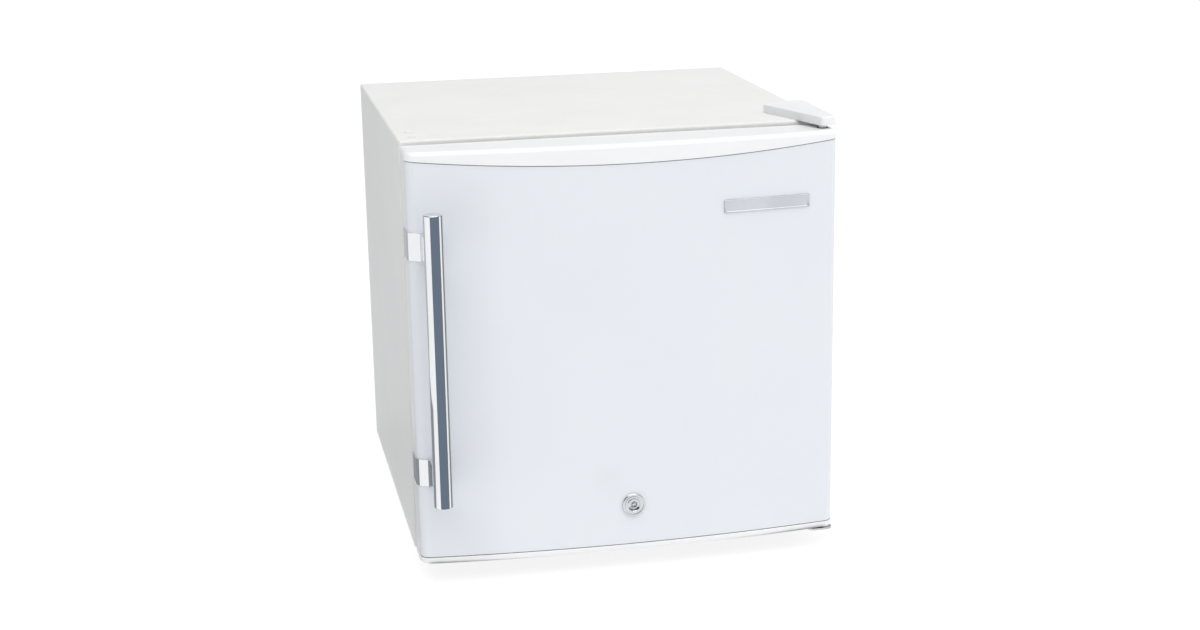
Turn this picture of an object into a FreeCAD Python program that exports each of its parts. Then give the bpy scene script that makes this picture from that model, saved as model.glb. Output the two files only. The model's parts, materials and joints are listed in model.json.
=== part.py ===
import FreeCAD, Part
import math
import os

from FreeCAD import Vector

# A compact cube refrigerator: foamed steel cabinet, bowed foamed door on pin hinges, bar handle,
# key lock, ice compartment, and a compressor with a wire condenser at the back.
# Millimetres. +Z is up, the door faces -Y, and the feet stand on z = 0.

# ---------------------------------------------------------------- driving dimensions
# Cabinet
cabinet_width = 470.0
cabinet_height = 457.0
cabinet_depth = 425.0
foot_height = 22.0
steel = 0.8
shell_edge_radius = 3.0
side_wall = 38.0
top_wall = 38.0
floor_wall = 34.0
back_wall = 45.0
liner_wall = 1.6
liner_corner = 10.0
liner_lip = 5.0
rear_hem = 14.0
bottom_hem = 12.0
niche_depth = 150.0
niche_height = 170.0
niche_wall = 38.0

# Door
door_gap = 8.0
door_thickness = 56.0
door_side_inset = 1.2
door_top_drop = 3.8
door_bottom_drop = 2.0
bow_rise = 14.5
bow_corner = 11.0
panel_edge = 28.0
panel_skin = 0.8
cap_proud = 0.9
cap_wall = 2.4
cap_edge_radius = 4.0
top_cap_end = 9.0
top_cap_middle = 21.0
bottom_cap_height = 8.0
seam_gap = 0.4
trim_wall = 2.5
trim_groove_width = 2.0
trim_groove_depth = 1.0
trim_groove_place = 11.0
door_liner_wall = 1.5
dyke_gap = 10.0
dyke_width = 22.0
dyke_height = 30.0
dyke_lock_clearance = 22.0
gasket_width = 18.0
gasket_offset = 1.0
gasket_clearance = 0.3
gasket_wall = 2.0
bin_depth = 58.0
bin_wall = 2.0
bin_side_gap = 2.0
upper_bin_height = 46.0
lower_bin_height = 62.0
upper_bin_drop = 55.0
lower_bin_place = 12.0
bin_lug = 8.0

# Hinges
pin_inset = 13.0
pin_setback = 31.0
pin_radius = 4.0
pin_fit = 0.05
pin_depth = 14.0
bush_wall = 2.0
boss_wall = 3.0
boss_floor = 3.0
hinge_plate = 2.5
lower_hinge_gap = 2.0
hinge_plate_half = 14.0
hinge_plate_reach = 62.0
hinge_screw_radius = 2.5
hinge_screw_head_radius = 4.6
hinge_screw_head = 2.8
hinge_screw_length = 11.0
hinge_screw_front = 22.0
hinge_screw_rear = 52.0
cover_height = 9.5
cover_wall = 1.8
cover_length_back = 80.0
cover_reach_front = 41.5
cover_tip_inset = 53.0
cover_tip_back = 61.0
cover_nose_inset = 17.0
cover_nose_front = 41.0
cover_back_width = 20.0
cover_front_lift = 2.0
cover_corner = 3.0
cover_clearance = 0.6

# Handle
bar_radius = 10.25
bar_length = 317.0
bar_top_drop = 57.8
bar_inset = 23.0
bar_standoff = 27.0
bar_edge = 0.8
handle_bracket_height = 30.0
handle_upper_end = 27.0
handle_lower_end = 11.0
handle_leg_half = 9.0
handle_flank = 18.0
handle_screw_radius = 2.5
handle_screw_depth = 20.0

# Lock
lock_height = 54.0
lock_bezel_radius = 12.75
lock_bezel_height = 2.6
lock_barrel_radius = 9.5
lock_barrel_length = 30.0
lock_plug_radius = 6.5
lock_plug_recess = 0.6
lock_fit = 0.05
lock_key_slot_outer = 3.9
lock_key_slot_inner = 2.2
lock_key_slot_depth = 6.0
spindle_radius = 3.5
spindle_sleeve_radius = 6.0
spindle_sleeve_end = 4.0
cam_place = 9.0
cam_thickness = 2.0
cam_half_width = 6.0
cam_nut_radius = 5.5
cam_nut_height = 3.0
cam_tip_clearance = 1.2
lock_nut_radius = 14.0
lock_nut_height = 4.0
lock_nut_gap = 0.3
keeper_plate = 1.2
keeper_gap = 2.5
keeper_half_width = 15.0
keeper_length = 24.0
keeper_height = 7.0
keeper_screw_spread = 0.6
keeper_screw_back = 0.7
keeper_screw_radius = 1.75
keeper_screw_head_radius = 3.4
keeper_screw_head = 1.4
keeper_screw_length = 8.0

# Badge
badge_width = 97.0
badge_height = 14.0
badge_thickness = 1.6
badge_side_inset = 33.0
badge_top_drop = 67.0

# Ice compartment
evaporator_height = 76.0
evaporator_rear_gap = 35.0
evaporator_front = 150.0
evaporator_side_gap = 1.5
evaporator_box_gap = 7.5
evaporator_top_gap = 8.0
evaporator_skin = 1.5
rail_wall = 2.5
rail_foot = 10.0
rail_front_reach = 8.0
tray_height = 22.0
tray_wall = 2.0
tray_side_gap = 0.5
tray_top_gap = 1.0
tray_lip = 6.0
flap_thickness = 3.0
flap_gap = 2.0
flap_side_gap = 0.6
flap_foot = 2.0
flap_axis_height = 5.0
flap_pin_radius = 1.6

# Thermostat
thermostat_width = 58.0
thermostat_height = 68.0
thermostat_depth = 120.0
thermostat_front = 110.0
thermostat_side_gap = 2.0
thermostat_corner = 6.0
thermostat_wall = 2.0
knob_radius = 17.0
knob_height = 15.0
knob_gap = 1.0
knob_shaft_radius = 3.0
knob_shaft_length = 16.0
switch_width = 34.0
switch_height = 30.0
switch_depth = 26.0
bulb_radius = 2.5
bulb_length = 60.0

# Shelf
shelf_height = 14.0
shelf_front = 96.0
shelf_rear_gap = 5.0
shelf_side_gap = 2.0
shelf_rim_radius = 2.5
shelf_wire_radius = 1.5
shelf_bend = 8.0
shelf_wire_count = 15
shelf_clearance = 0.3
rib_width = 7.0
rib_height = 4.0

# Feet
front_foot_inset = 60.0
front_foot_setback = 36.0
foot_pad_radius = 17.0
foot_pad_height = 8.0
foot_collar_radius = 9.0
foot_stem_radius = 4.0
foot_stem_length = 20.0
foot_fit = 0.08
foam_relief = 0.5
rear_foot_inset = 42.0
rear_foot_setback = 28.0
rear_foot_radius = 14.0

# Compressor compartment
plate_steel = 1.5
compressor_place = -25.0
compressor_setback = 80.0
compressor_radius = 58.0
compressor_height = 132.0
compressor_dome = 26.0
compressor_belt = 3.0
compressor_belt_height = 6.0
grommet_height = 10.0
grommet_radius = 9.0
grommet_spread_x = 78.0
grommet_spread_y = 40.0
cradle_thickness = 2.0
cradle_margin = 12.0
bolt_radius = 3.0
bolt_fit = 0.1
bolt_head_radius = 6.0
bolt_head = 4.0
relay_width = 30.0
relay_depth = 54.0
relay_height = 62.0
relay_place = 32.0
dryer_radius = 9.0
dryer_length = 92.0
dryer_neck = 10.0
dryer_inset = 83.0
dryer_setback = 34.0
dryer_floor = 50.0
line_radius = 3.0
capillary_radius = 1.1
gland_radius = 9.0
gland_body_radius = 6.5
gland_bore = 3.7
gland_length = 14.0
gland_flange = 2.5
gland_tab_half = 16.0
gland_tab_height = 34.0
gland_inset = 85.0
gland_height = 18.0
discharge_share = 0.3
suction_share_x = 0.3
suction_share_y = 0.5
suction_share_z = 0.8
suction_drop = 0.9
suction_bend = 0.7
capillary_bend = 0.45
dryer_round = 0.6
capillary_knee = 1.5

# Condenser
condenser_standoff = 10.0
condenser_tube_radius = 2.4
condenser_wire_radius = 0.75
condenser_wire_pitch = 10.0
condenser_rows = 9
condenser_bend = 0.45
condenser_side_gap = 36.0
condenser_top_gap = 24.0
condenser_bottom_gap = 20.0
condenser_overhang = 9.0
condenser_tie_inset = 5.0
clip_half_width = 8.0
clip_half_height = 6.0
clip_post = 3.0
clip_foot = 3.0
clip_wire_gap = 1.5
clip_fit = 0.1

# ---------------------------------------------------------------- derived places
half_width = cabinet_width / 2
door_half = half_width - door_side_inset
bow_radius = (door_half ** 2 + bow_rise ** 2) / (2 * bow_rise)
bar_x = -(half_width - bar_inset)
bar_fall = bow_radius - math.sqrt(bow_radius ** 2 - bar_x ** 2)
front_reach = door_gap + door_thickness - bar_fall + bar_standoff + 2 * bar_radius
rear_reach = cabinet_depth + condenser_standoff + condenser_tube_radius + 2 * condenser_wire_radius
front_y = (front_reach - rear_reach) / 2
rear_y = front_y + cabinet_depth
base_z = foot_height
top_z = base_z + cabinet_height

cavity_half = half_width - side_wall
cavity_floor = base_z + floor_wall
cavity_top = top_z - top_wall
cavity_back = rear_y - back_wall
niche_front = rear_y - niche_depth
niche_roof = base_z + niche_height
step_front = niche_front - niche_wall
step_top = niche_roof + niche_wall

door_rear = front_y - door_gap
door_mid = door_rear - door_thickness
door_top = top_z - door_top_drop
door_bottom = base_z - door_bottom_drop
door_core_rear = door_rear - door_liner_wall
panel_side_y = door_rear - panel_edge
bow_centre = door_mid + bow_radius
seam_low = door_top - top_cap_middle
seam_end = door_top - top_cap_end
seam_rise = seam_end - seam_low
seam_radius = (door_half ** 2 + seam_rise ** 2) / (2 * seam_rise)
bottom_seam = door_bottom + bottom_cap_height

dryer_place = half_width - dryer_inset
gland_place = -half_width + gland_inset
pin_x = half_width - pin_inset
pin_y = front_y - pin_setback
lock_z = door_bottom + lock_height
bar_door_y = door_mid + bar_fall
bar_y = bar_door_y - bar_standoff - bar_radius
bar_top = door_top - bar_top_drop
bar_bottom = bar_top - bar_length

X = Vector(1, 0, 0)
Y = Vector(0, 1, 0)
Z = Vector(0, 0, 1)
far = 1000.0   # longer than the object, for tools that cut right through it
past = 1.0     # how far a cutting tool runs past the face that it opens
near = 0.01    # two places this close are the same place
nodes = {}


# ---------------------------------------------------------------- shape helpers
def block(x0, x1, y0, y1, z0, z1):
    """A box between two corners."""
    return Part.makeBox(x1 - x0, y1 - y0, z1 - z0, Vector(x0, y0, z0))


def rod(x, y, z, axis, radius, length):
    """A round bar that starts at a point and runs along an axis."""
    return Part.makeCylinder(radius, length, Vector(x, y, z), axis)


def ring(x, y, z, axis, outer, inner, length):
    """A tube that starts at a point and runs along an axis."""
    return rod(x, y, z, axis, outer, length).cut(rod(x, y, z, axis, inner, length))


def prism(points, direction):
    """A closed polygon of 3-D points, carried along a direction."""
    corners = [Vector(*point) for point in points]
    return Part.Face(Part.makePolygon(corners + corners[:1])).extrude(direction)


def plan(points, z0, z1):
    """A plate with an outline in the XY plane."""
    return prism([(x, y, z0) for x, y in points], Z * (z1 - z0))


def profile_x(points, x0, x1):
    """A section in the YZ plane, carried along X."""
    return prism([(x0, y, z) for y, z in points], X * (x1 - x0))


def profile_y(points, y0, y1):
    """A section in the XZ plane, carried along Y."""
    return prism([(x, y0, z) for x, z in points], Y * (y1 - y0))


def join(shapes):
    """One solid from several that meet or overlap."""
    whole = shapes[0]
    for shape in shapes[1:]:
        whole = whole.fuse(shape)
    return whole.removeSplitter()


def without(shape, tools):
    """A solid with other solids cut out of it."""
    for tool in tools:
        shape = shape.cut(tool)
    return shape


def mirrored_x(shape):
    """The same shape on the other side of the middle plane."""
    return shape.mirror(Vector(0, 0, 0), X)


def rounded(shape, radius, chosen):
    """The shape with the chosen edges rounded."""
    edges = [edge for edge in shape.Edges if chosen(edge)]
    return shape.makeFillet(radius, edges)


def along(edge, axis):
    """True when an edge is straight and runs along an axis."""
    if not isinstance(edge.Curve, Part.Line):
        return False
    return abs(abs(edge.Curve.Direction.dot(axis)) - 1) < 1e-6


def pipe(points, radius, bend):
    """A round tube through points, with each corner turned as an arc of the bend radius."""
    route = [Vector(*point) for point in points]
    edges = []
    start = route[0]
    for before, corner, after in zip(route, route[1:], route[2:]):
        into = (corner - before).normalize()
        away = (after - corner).normalize()
        turn = into.getAngle(away)
        reach = bend * math.tan(turn / 2)
        first = corner - into * reach
        last = corner + away * reach
        toward = (away - into).normalize()
        middle = corner + toward * (bend / math.cos(turn / 2) - bend)
        edges.append(Part.LineSegment(start, first).toShape())
        edges.append(Part.Arc(first, middle, last).toShape())
        start = last
    edges.append(Part.LineSegment(start, route[-1]).toShape())
    path = Part.Wire(edges)
    heading = (route[1] - route[0]).normalize()
    section = Part.Wire(Part.Circle(route[0], heading, radius).toShape())
    return path.makePipeShell([section], True, True)


def keep(name, *solids):
    """Stores a node: one solid, or a group of identical separate ones."""
    nodes[name] = solids[0] if len(solids) == 1 else Part.makeCompound(list(solids))


# ---------------------------------------------------------------- door outlines
def door_outline(inset, back, z):
    """The door's plan outline: straight sides, tight corners and a bowed front."""
    half = door_half - inset
    large = bow_radius - inset
    small = bow_corner - inset
    corner_x = half - small
    corner_y = bow_centre - math.sqrt((large - small) ** 2 - corner_x ** 2)
    reach = large / (large - small)
    touch_x = corner_x * reach
    touch_y = bow_centre + (corner_y - bow_centre) * reach
    lean = math.atan2(corner_x, bow_centre - corner_y)
    middle = (math.pi / 2 + lean) / 2
    round_x = corner_x + small * math.sin(middle)
    round_y = corner_y - small * math.cos(middle)
    left_back = Vector(-half, back, z)
    left_side = Vector(-half, corner_y, z)
    left_front = Vector(-touch_x, touch_y, z)
    right_front = Vector(touch_x, touch_y, z)
    right_side = Vector(half, corner_y, z)
    right_back = Vector(half, back, z)
    edges = [
        Part.LineSegment(left_back, left_side).toShape(),
        Part.Arc(left_side, Vector(-round_x, round_y, z), left_front).toShape(),
        Part.Arc(left_front, Vector(0, bow_centre - large, z), right_front).toShape(),
        Part.Arc(right_front, Vector(round_x, round_y, z), right_side).toShape(),
        Part.LineSegment(right_side, right_back).toShape(),
        Part.LineSegment(right_back, left_back).toShape(),
    ]
    return Part.Face(Part.Wire(edges))


def door_block(inset, back, z0, z1):
    """The door's outline carried up between two heights."""
    return door_outline(inset, back, z0).extrude(Z * (z1 - z0))


def above_seam(drop):
    """Everything above the curved lower edge of the top cap, which dips in the middle."""
    edge_x = door_half + cap_proud + cap_wall
    centre_z = seam_low + seam_radius - drop
    edge_z = centre_z - math.sqrt(seam_radius ** 2 - edge_x ** 2)
    y = door_mid - far
    left = Vector(-edge_x, y, edge_z)
    right = Vector(edge_x, y, edge_z)
    high_left = Vector(-edge_x, y, top_z)
    high_right = Vector(edge_x, y, top_z)
    edges = [
        Part.Arc(left, Vector(0, y, seam_low - drop), right).toShape(),
        Part.LineSegment(right, high_right).toShape(),
        Part.LineSegment(high_right, high_left).toShape(),
        Part.LineSegment(high_left, left).toShape(),
    ]
    return Part.Face(Part.Wire(edges)).extrude(Y * 2 * far)


# ---------------------------------------------------------------- cabinet
def make_cabinet():
    """The outer steel, its base with the compressor step, the liner and the foam between."""
    inner = half_width - steel
    hem = side_wall - liner_lip
    wrap = block(-half_width, half_width, front_y, rear_y, base_z, top_z)
    wrap = rounded(wrap, shell_edge_radius, lambda edge: along(edge, Y) and edge.Vertexes[0].Z > top_z - past)
    wrap = without(wrap, [
        block(-inner, inner, front_y + steel, rear_y - steel, base_z + steel, top_z - steel),
        block(-half_width + hem, half_width - hem, front_y - past, front_y + steel, base_z - past,
              top_z - top_wall + liner_lip),
        block(-half_width + rear_hem, half_width - rear_hem, rear_y - steel, rear_y + past, base_z - past,
              top_z - rear_hem),
        block(-half_width + bottom_hem, half_width - bottom_hem, front_y + steel, rear_y - steel,
              base_z - past, base_z + steel),
    ])
    for reach in (hinge_screw_front, hinge_screw_rear):
        for side in (-1, 1):
            wrap = wrap.cut(rod(side * hinge_screw_x, front_y + reach, top_z - 2 * steel, Z,
                                hinge_screw_radius, 4 * steel))
            wrap = wrap.cut(rod(side * pin_x, front_y + reach, base_z - steel, Z,
                                hinge_screw_radius, 3 * steel))

    sill = block(-half_width + hem, half_width - hem, front_y, front_y + steel, base_z,
                 cavity_floor - liner_lip)

    floor = base_z + steel
    back_face = rear_y - 2 * steel
    base = profile_x([
        (front_y + steel, floor), (niche_front, floor), (niche_front, niche_roof),
        (back_face, niche_roof), (back_face, niche_roof + steel), (niche_front - steel, niche_roof + steel),
        (niche_front - steel, floor + steel), (front_y + steel, floor + steel)], -inner, inner)
    for side in (-1, 1):
        base = base.cut(rod(side * front_foot_x, front_foot_y, floor - steel, Z,
                            foot_stem_radius + foot_fit, 3 * steel))
        for reach in (hinge_screw_front, hinge_screw_rear):
            base = base.cut(rod(side * pin_x, front_y + reach, floor - steel, Z, hinge_screw_radius, 3 * steel))

    back = block(-inner, inner, back_face, rear_y - steel, niche_roof, top_z - steel)

    lining, filled = make_liner()
    foam = block(-inner, inner, front_y + steel, back_face, floor + steel, top_z - steel)
    foam = without(foam, [
        filled,
        block(-inner, inner, niche_front - steel, rear_y, floor, niche_roof + steel),
        sill,
    ])
    for side in (-1, 1):
        foam = foam.cut(rod(side * front_foot_x, front_foot_y, floor, Z, foot_stem_radius + foam_relief,
                            foot_stem_length + steel))
        for reach in (hinge_screw_front, hinge_screw_rear):
            foam = foam.cut(rod(side * hinge_screw_x, front_y + reach, top_z - hinge_screw_length, Z,
                                hinge_screw_radius, hinge_screw_length))
            foam = foam.cut(rod(side * pin_x, front_y + reach, base_z, Z, hinge_screw_radius,
                                hinge_screw_length))
    for side in (-1, 1):
        hole = rod(side * keeper_screw_x, keeper_screw_y, cavity_floor - keeper_screw_length, Z,
                   keeper_screw_radius, keeper_screw_length)
        foam = foam.cut(hole)
        lining = lining.cut(hole)

    keep("cabinet_wrap", wrap)
    keep("front_sill", sill)
    keep("base_panel", base)
    keep("back_panel", back)
    keep("inner_liner", lining)
    keep("cabinet_foam", foam)


def liner_profile(grow):
    """The cavity's side section, with the step over the compressor, grown outwards by a wall."""
    return [
        (front_y, cavity_floor - grow), (step_front + grow, cavity_floor - grow),
        (step_front + grow, step_top - grow), (cavity_back + grow, step_top - grow),
        (cavity_back + grow, cavity_top + grow), (front_y, cavity_top + grow)]


def make_liner():
    """The moulded inner box with its shelf ribs, and the same box filled for cutting the foam."""
    outer = profile_x(liner_profile(liner_wall), -cavity_half - liner_wall, cavity_half + liner_wall)
    inner = profile_x(liner_profile(0), -cavity_half, cavity_half)
    inner = rounded(inner, liner_corner, lambda edge: along(edge, Y))
    outer = rounded(outer, liner_corner + liner_wall, lambda edge: along(edge, Y))
    lip = block(-cavity_half - liner_lip, cavity_half + liner_lip, front_y, front_y + liner_wall,
                cavity_floor - liner_lip, cavity_top + liner_lip)
    filled = outer.fuse(lip)
    lining = filled.cut(inner)
    ribs = []
    for side in (-1, 1):
        low = min(side * cavity_half, side * (cavity_half - rib_width))
        ribs.append(block(low, low + rib_width, front_y + shelf_front, cavity_back, shelf_z - rib_height, shelf_z))
    return join([lining] + ribs), filled


def make_base_fittings():
    """The compressor's plate with the cord gland's tab, and the four feet."""
    inner = half_width - steel
    floor = base_z + steel
    plate = block(-inner, inner, niche_front, rear_y - steel, floor, floor + plate_steel)
    tab = block(gland_place - gland_tab_half, gland_place + gland_tab_half, rear_y - steel - plate_steel,
                rear_y - steel, floor, floor + gland_tab_height)
    plate = join([plate, tab])
    gland_z = floor + gland_height
    plate = plate.cut(rod(gland_place, rear_y - steel - 2 * plate_steel, gland_z, Y, gland_body_radius,
                          3 * plate_steel))
    for sx in (-1, 1):
        for sy in (-1, 1):
            plate = plate.cut(rod(compressor_place + sx * grommet_spread_x, compressor_y + sy * grommet_spread_y,
                                  floor - past, Z, bolt_radius + bolt_fit, plate_steel + 2 * past))
    keep("compressor_plate", plate)

    flange = rod(gland_place, rear_y - steel, gland_z, Y, gland_radius, gland_flange)
    body = rod(gland_place, rear_y - steel - gland_length + gland_flange, gland_z, Y, gland_body_radius,
               gland_length - gland_flange)
    gland = join([flange, body])
    gland = gland.cut(rod(gland_place, rear_y - 2 * gland_length, gland_z, Y, gland_bore, 3 * gland_length))
    keep("cord_gland", gland)

    for name, side in (("left_front_foot", -1), ("right_front_foot", 1)):
        pad = rod(side * front_foot_x, front_foot_y, 0, Z, foot_pad_radius, foot_pad_height)
        collar = rod(side * front_foot_x, front_foot_y, foot_pad_height, Z, foot_collar_radius,
                     floor - foot_pad_height)
        stem = rod(side * front_foot_x, front_foot_y, floor, Z, foot_stem_radius, foot_stem_length)
        keep(name, join([pad, collar, stem]))
    rear = [rod(side * (half_width - rear_foot_inset), rear_y - rear_foot_setback, 0, Z, rear_foot_radius, floor)
            for side in (-1, 1)]
    keep("rear_feet", *rear)


# ---------------------------------------------------------------- hinges
def cover_outline(inset):
    """The hinge cover's plan, pulled in on every side by an inset."""
    edge = half_width
    points = [
        (edge - cover_tip_inset, front_y + cover_tip_back),
        (edge - cover_nose_inset, front_y - cover_nose_front),
        (edge - cover_corner, front_y - cover_reach_front),
        (edge, front_y - cover_reach_front + cover_corner),
        (edge, front_y + cover_length_back),
        (edge - cover_back_width, front_y + cover_length_back),
    ]
    pulled = []
    count = len(points)
    for index in range(count):
        before, here, after = points[index - 1], points[index], points[(index + 1) % count]
        first = edge_normal(before, here)
        second = edge_normal(here, after)
        share = inset / (1 + first[0] * second[0] + first[1] * second[1])
        pulled.append((here[0] + (first[0] + second[0]) * share, here[1] + (first[1] + second[1]) * share))
    return pulled


def edge_normal(start, end):
    """The inward normal of an edge of an outline that runs anticlockwise."""
    dx, dy = end[0] - start[0], end[1] - start[1]
    length = math.hypot(dx, dy)
    return (-dy / length, dx / length)


def make_hinges():
    """Both hinge plates with their pins and screws, the cover, and the plugs for the other hand."""
    outer = plan(cover_outline(0), top_z, top_z + cover_height)
    outer = rounded(outer, cover_wall / 2, lambda edge: edge.CenterOfMass.z > top_z + cover_height - near)
    hollow = plan(cover_outline(cover_wall), top_z - past, top_z + cover_height - cover_wall)
    relief = block(0, far, front_y - far, front_y, top_z - past, top_z + cover_front_lift)
    keep("hinge_cover", outer.cut(hollow).cut(relief))

    inside = plan(cover_outline(cover_wall + cover_clearance), top_z, top_z + hinge_plate)
    reach = block(0, far, front_y - far, front_y + hinge_plate_reach, top_z, top_z + hinge_plate)
    bracket = inside.common(reach)
    screws = []
    for place in (hinge_screw_front, hinge_screw_rear):
        bracket = bracket.cut(rod(hinge_screw_x, front_y + place, top_z - past, Z, hinge_screw_radius, far))
        head = rod(hinge_screw_x, front_y + place, top_z + hinge_plate, Z, hinge_screw_head_radius,
                   hinge_screw_head)
        shank = rod(hinge_screw_x, front_y + place, top_z - hinge_screw_length, Z, hinge_screw_radius,
                    hinge_screw_length + hinge_plate)
        screws.append(join([head, shank]))
    bracket = bracket.cut(rod(pin_x, pin_y, top_z - past, Z, pin_radius, far))
    keep("upper_hinge_bracket", bracket)
    keep("upper_hinge_screws", *screws)
    keep("upper_hinge_pin", rod(pin_x, pin_y, door_top - pin_depth, Z, pin_radius,
                                top_z + hinge_plate - door_top + pin_depth))

    plate_top = door_bottom - lower_hinge_gap
    plate_low = plate_top - hinge_plate
    web = front_y + hinge_plate
    low = profile_x([
        (front_y + hinge_plate_reach, base_z), (web, base_z), (web, plate_top),
        (pin_y - hinge_plate_half, plate_top), (pin_y - hinge_plate_half, plate_low),
        (web + hinge_plate, plate_low), (web + hinge_plate, base_z - hinge_plate),
        (front_y + hinge_plate_reach, base_z - hinge_plate)],
        pin_x - hinge_plate_half, pin_x + hinge_plate_half)
    low = rounded(low, hinge_plate_half / 2, lambda edge: along(edge, Z) and edge.Vertexes[0].Y < pin_y)
    screws = []
    for place in (hinge_screw_front, hinge_screw_rear):
        low = low.cut(rod(pin_x, front_y + place, 0, Z, hinge_screw_radius, base_z + past))
        head = rod(pin_x, front_y + place, base_z - hinge_plate - hinge_screw_head, Z, hinge_screw_head_radius,
                   hinge_screw_head)
        shank = rod(pin_x, front_y + place, base_z - hinge_plate, Z, hinge_screw_radius,
                    hinge_plate + hinge_screw_length)
        screws.append(join([head, shank]))
    low = low.cut(rod(pin_x, pin_y, 0, Z, pin_radius, base_z))
    keep("lower_hinge_bracket", low)
    keep("lower_hinge_screws", *screws)
    keep("lower_hinge_pin", rod(pin_x, pin_y, plate_low, Z, pin_radius,
                                door_bottom + pin_depth - plate_low))

    plugs = []
    for place in (hinge_screw_front, hinge_screw_rear):
        head = rod(-hinge_screw_x, front_y + place, top_z, Z, hinge_screw_head_radius, steel)
        stem = rod(-hinge_screw_x, front_y + place, top_z - hinge_screw_length / 2, Z, hinge_screw_radius,
                   hinge_screw_length / 2)
        plugs.append(join([head, stem]))
    keep("hinge_hole_plugs", *plugs)


# ---------------------------------------------------------------- door
def make_door():
    """The bowed skin, end caps, side trims, foam, inner liner, seal and bins."""
    skin_low = bottom_seam + seam_gap
    skin = door_block(0, panel_side_y, skin_low, door_top)
    skin = skin.cut(door_block(panel_skin, panel_side_y + past, skin_low - past, door_top + past))
    skin = skin.cut(above_seam(seam_gap))

    top_cap = door_block(-cap_proud, door_core_rear, door_top - 2 * top_cap_middle, door_top)
    top_cap = rounded(top_cap, cap_edge_radius, lambda edge: on_front_rim(edge, door_top))
    top_cap = top_cap.common(above_seam(0))
    top_cap = top_cap.cut(door_block(cap_wall, door_core_rear - cap_wall, door_bottom, door_top - cap_wall))
    bottom_cap = door_block(-cap_proud, door_core_rear, door_bottom, bottom_seam)
    bottom_cap = rounded(bottom_cap, cap_edge_radius, lambda edge: on_front_rim(edge, door_bottom))
    bottom_cap = bottom_cap.cut(door_block(cap_wall, door_core_rear - cap_wall, door_bottom + cap_wall, door_top))

    bush_outer = pin_radius + pin_fit + bush_wall
    boss_outer = bush_outer + boss_wall
    boss_length = pin_depth + boss_floor
    top_boss = rod(pin_x, pin_y, door_top - boss_length, Z, boss_outer, boss_length - cap_wall)
    low_boss = rod(pin_x, pin_y, door_bottom + cap_wall, Z, boss_outer, boss_length - cap_wall)
    top_bore = rod(pin_x, pin_y, door_top - pin_depth - past, Z, bush_outer, pin_depth + 2 * past)
    low_bore = rod(pin_x, pin_y, door_bottom - past, Z, bush_outer, pin_depth + 2 * past)
    top_cap = join([top_cap, top_boss]).cut(top_bore)
    bottom_cap = join([bottom_cap, low_boss]).cut(low_bore)
    bush = pin_radius + pin_fit
    keep("hinge_bushes",
         ring(pin_x, pin_y, door_top - pin_depth - past, Z, bush_outer, bush, pin_depth + past),
         ring(pin_x, pin_y, door_bottom, Z, bush_outer, bush, pin_depth + past))

    trim_low = bottom_seam
    trim_high = seam_end - seam_gap
    trim = block(door_half - trim_wall, door_half, panel_side_y, door_core_rear, trim_low, trim_high)
    groove_y = door_core_rear - trim_groove_place
    trim = trim.cut(block(door_half - trim_groove_depth, door_half + past, groove_y - trim_groove_width, groove_y,
                          trim_low - past, trim_high + past))
    right_trim = without(trim, [above_seam(0), top_boss, low_boss])
    left_trim = mirrored_x(right_trim)

    liner, dyke_core = make_door_liner()
    barrel_hole = rod(0, door_mid - past, lock_z, Y, lock_barrel_radius, lock_barrel_length + past)
    sleeve_hole = rod(0, door_mid, lock_z, Y, spindle_sleeve_radius, far)
    nut_hole = rod(0, door_mid + panel_skin + lock_nut_gap, lock_z, Y, lock_nut_radius, lock_nut_height)
    foam = door_block(panel_skin, door_core_rear, door_bottom + cap_wall, door_top - cap_wall)
    foam = foam.fuse(dyke_core)
    foam = without(foam, [top_cap, bottom_cap, right_trim, left_trim, top_boss, low_boss, top_bore, low_bore,
                          barrel_hole, sleeve_hole, nut_hole] + handle_screw_holes())
    foam = foam.cut(block(-far, far, door_core_rear - cap_wall, door_core_rear, seam_end, door_top))
    skin = without(skin, [barrel_hole] + handle_screw_holes())
    liner = liner.cut(sleeve_hole)

    keep("door_front_panel", skin)
    keep("door_top_cap", top_cap)
    keep("door_bottom_cap", bottom_cap)
    keep("door_side_trims", left_trim, right_trim)
    keep("door_foam", largest(foam))
    keep("door_liner", liner)
    make_gasket()
    make_bins()


def on_front_rim(edge, z):
    """True for the rim edges of a cap's flat face, apart from the straight one at the back."""
    middle = edge.CenterOfMass
    return abs(middle.z - z) < near and middle.y < door_core_rear - near


def largest(shape):
    """The biggest solid of a shape."""
    return sorted(shape.Solids, key=lambda solid: solid.Volume)[-1]


def dyke_block(shrink, y0, y1):
    """The raised frame of the door liner, pulled in by a wall."""
    outer_half = cavity_half - dyke_gap - shrink
    inner_half = cavity_half - dyke_gap - dyke_width + shrink
    low = lock_z + dyke_lock_clearance
    high = cavity_top - dyke_gap
    outer = block(-outer_half, outer_half, y0, y1, low + shrink, high - shrink)
    inner = block(-inner_half, inner_half, y0 - past, y1 + past, low + dyke_width - shrink, high - dyke_width + shrink)
    outer = rounded(outer, liner_corner - shrink, lambda edge: along(edge, Y))
    return outer.cut(inner)


def make_door_liner():
    """The door's moulded inside: a flat sheet with a raised hollow frame and lugs for the bins."""
    sheet = block(-door_half, door_half, door_core_rear, door_rear, door_bottom, door_top)
    frame = dyke_block(0, door_rear, door_rear + dyke_height)
    core = dyke_block(door_liner_wall, door_core_rear - past, door_rear + dyke_height - door_liner_wall)
    lugs = []
    inner_half = cavity_half - dyke_gap - dyke_width
    for floor in bin_floors():
        for side in (-1, 1):
            low = min(side * inner_half, side * (inner_half - bin_lug))
            lugs.append(block(low, low + bin_lug, door_rear, door_rear + dyke_height, floor - bin_lug / 2, floor))
    liner = join([sheet, frame] + lugs).cut(core)
    return liner, core


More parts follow.
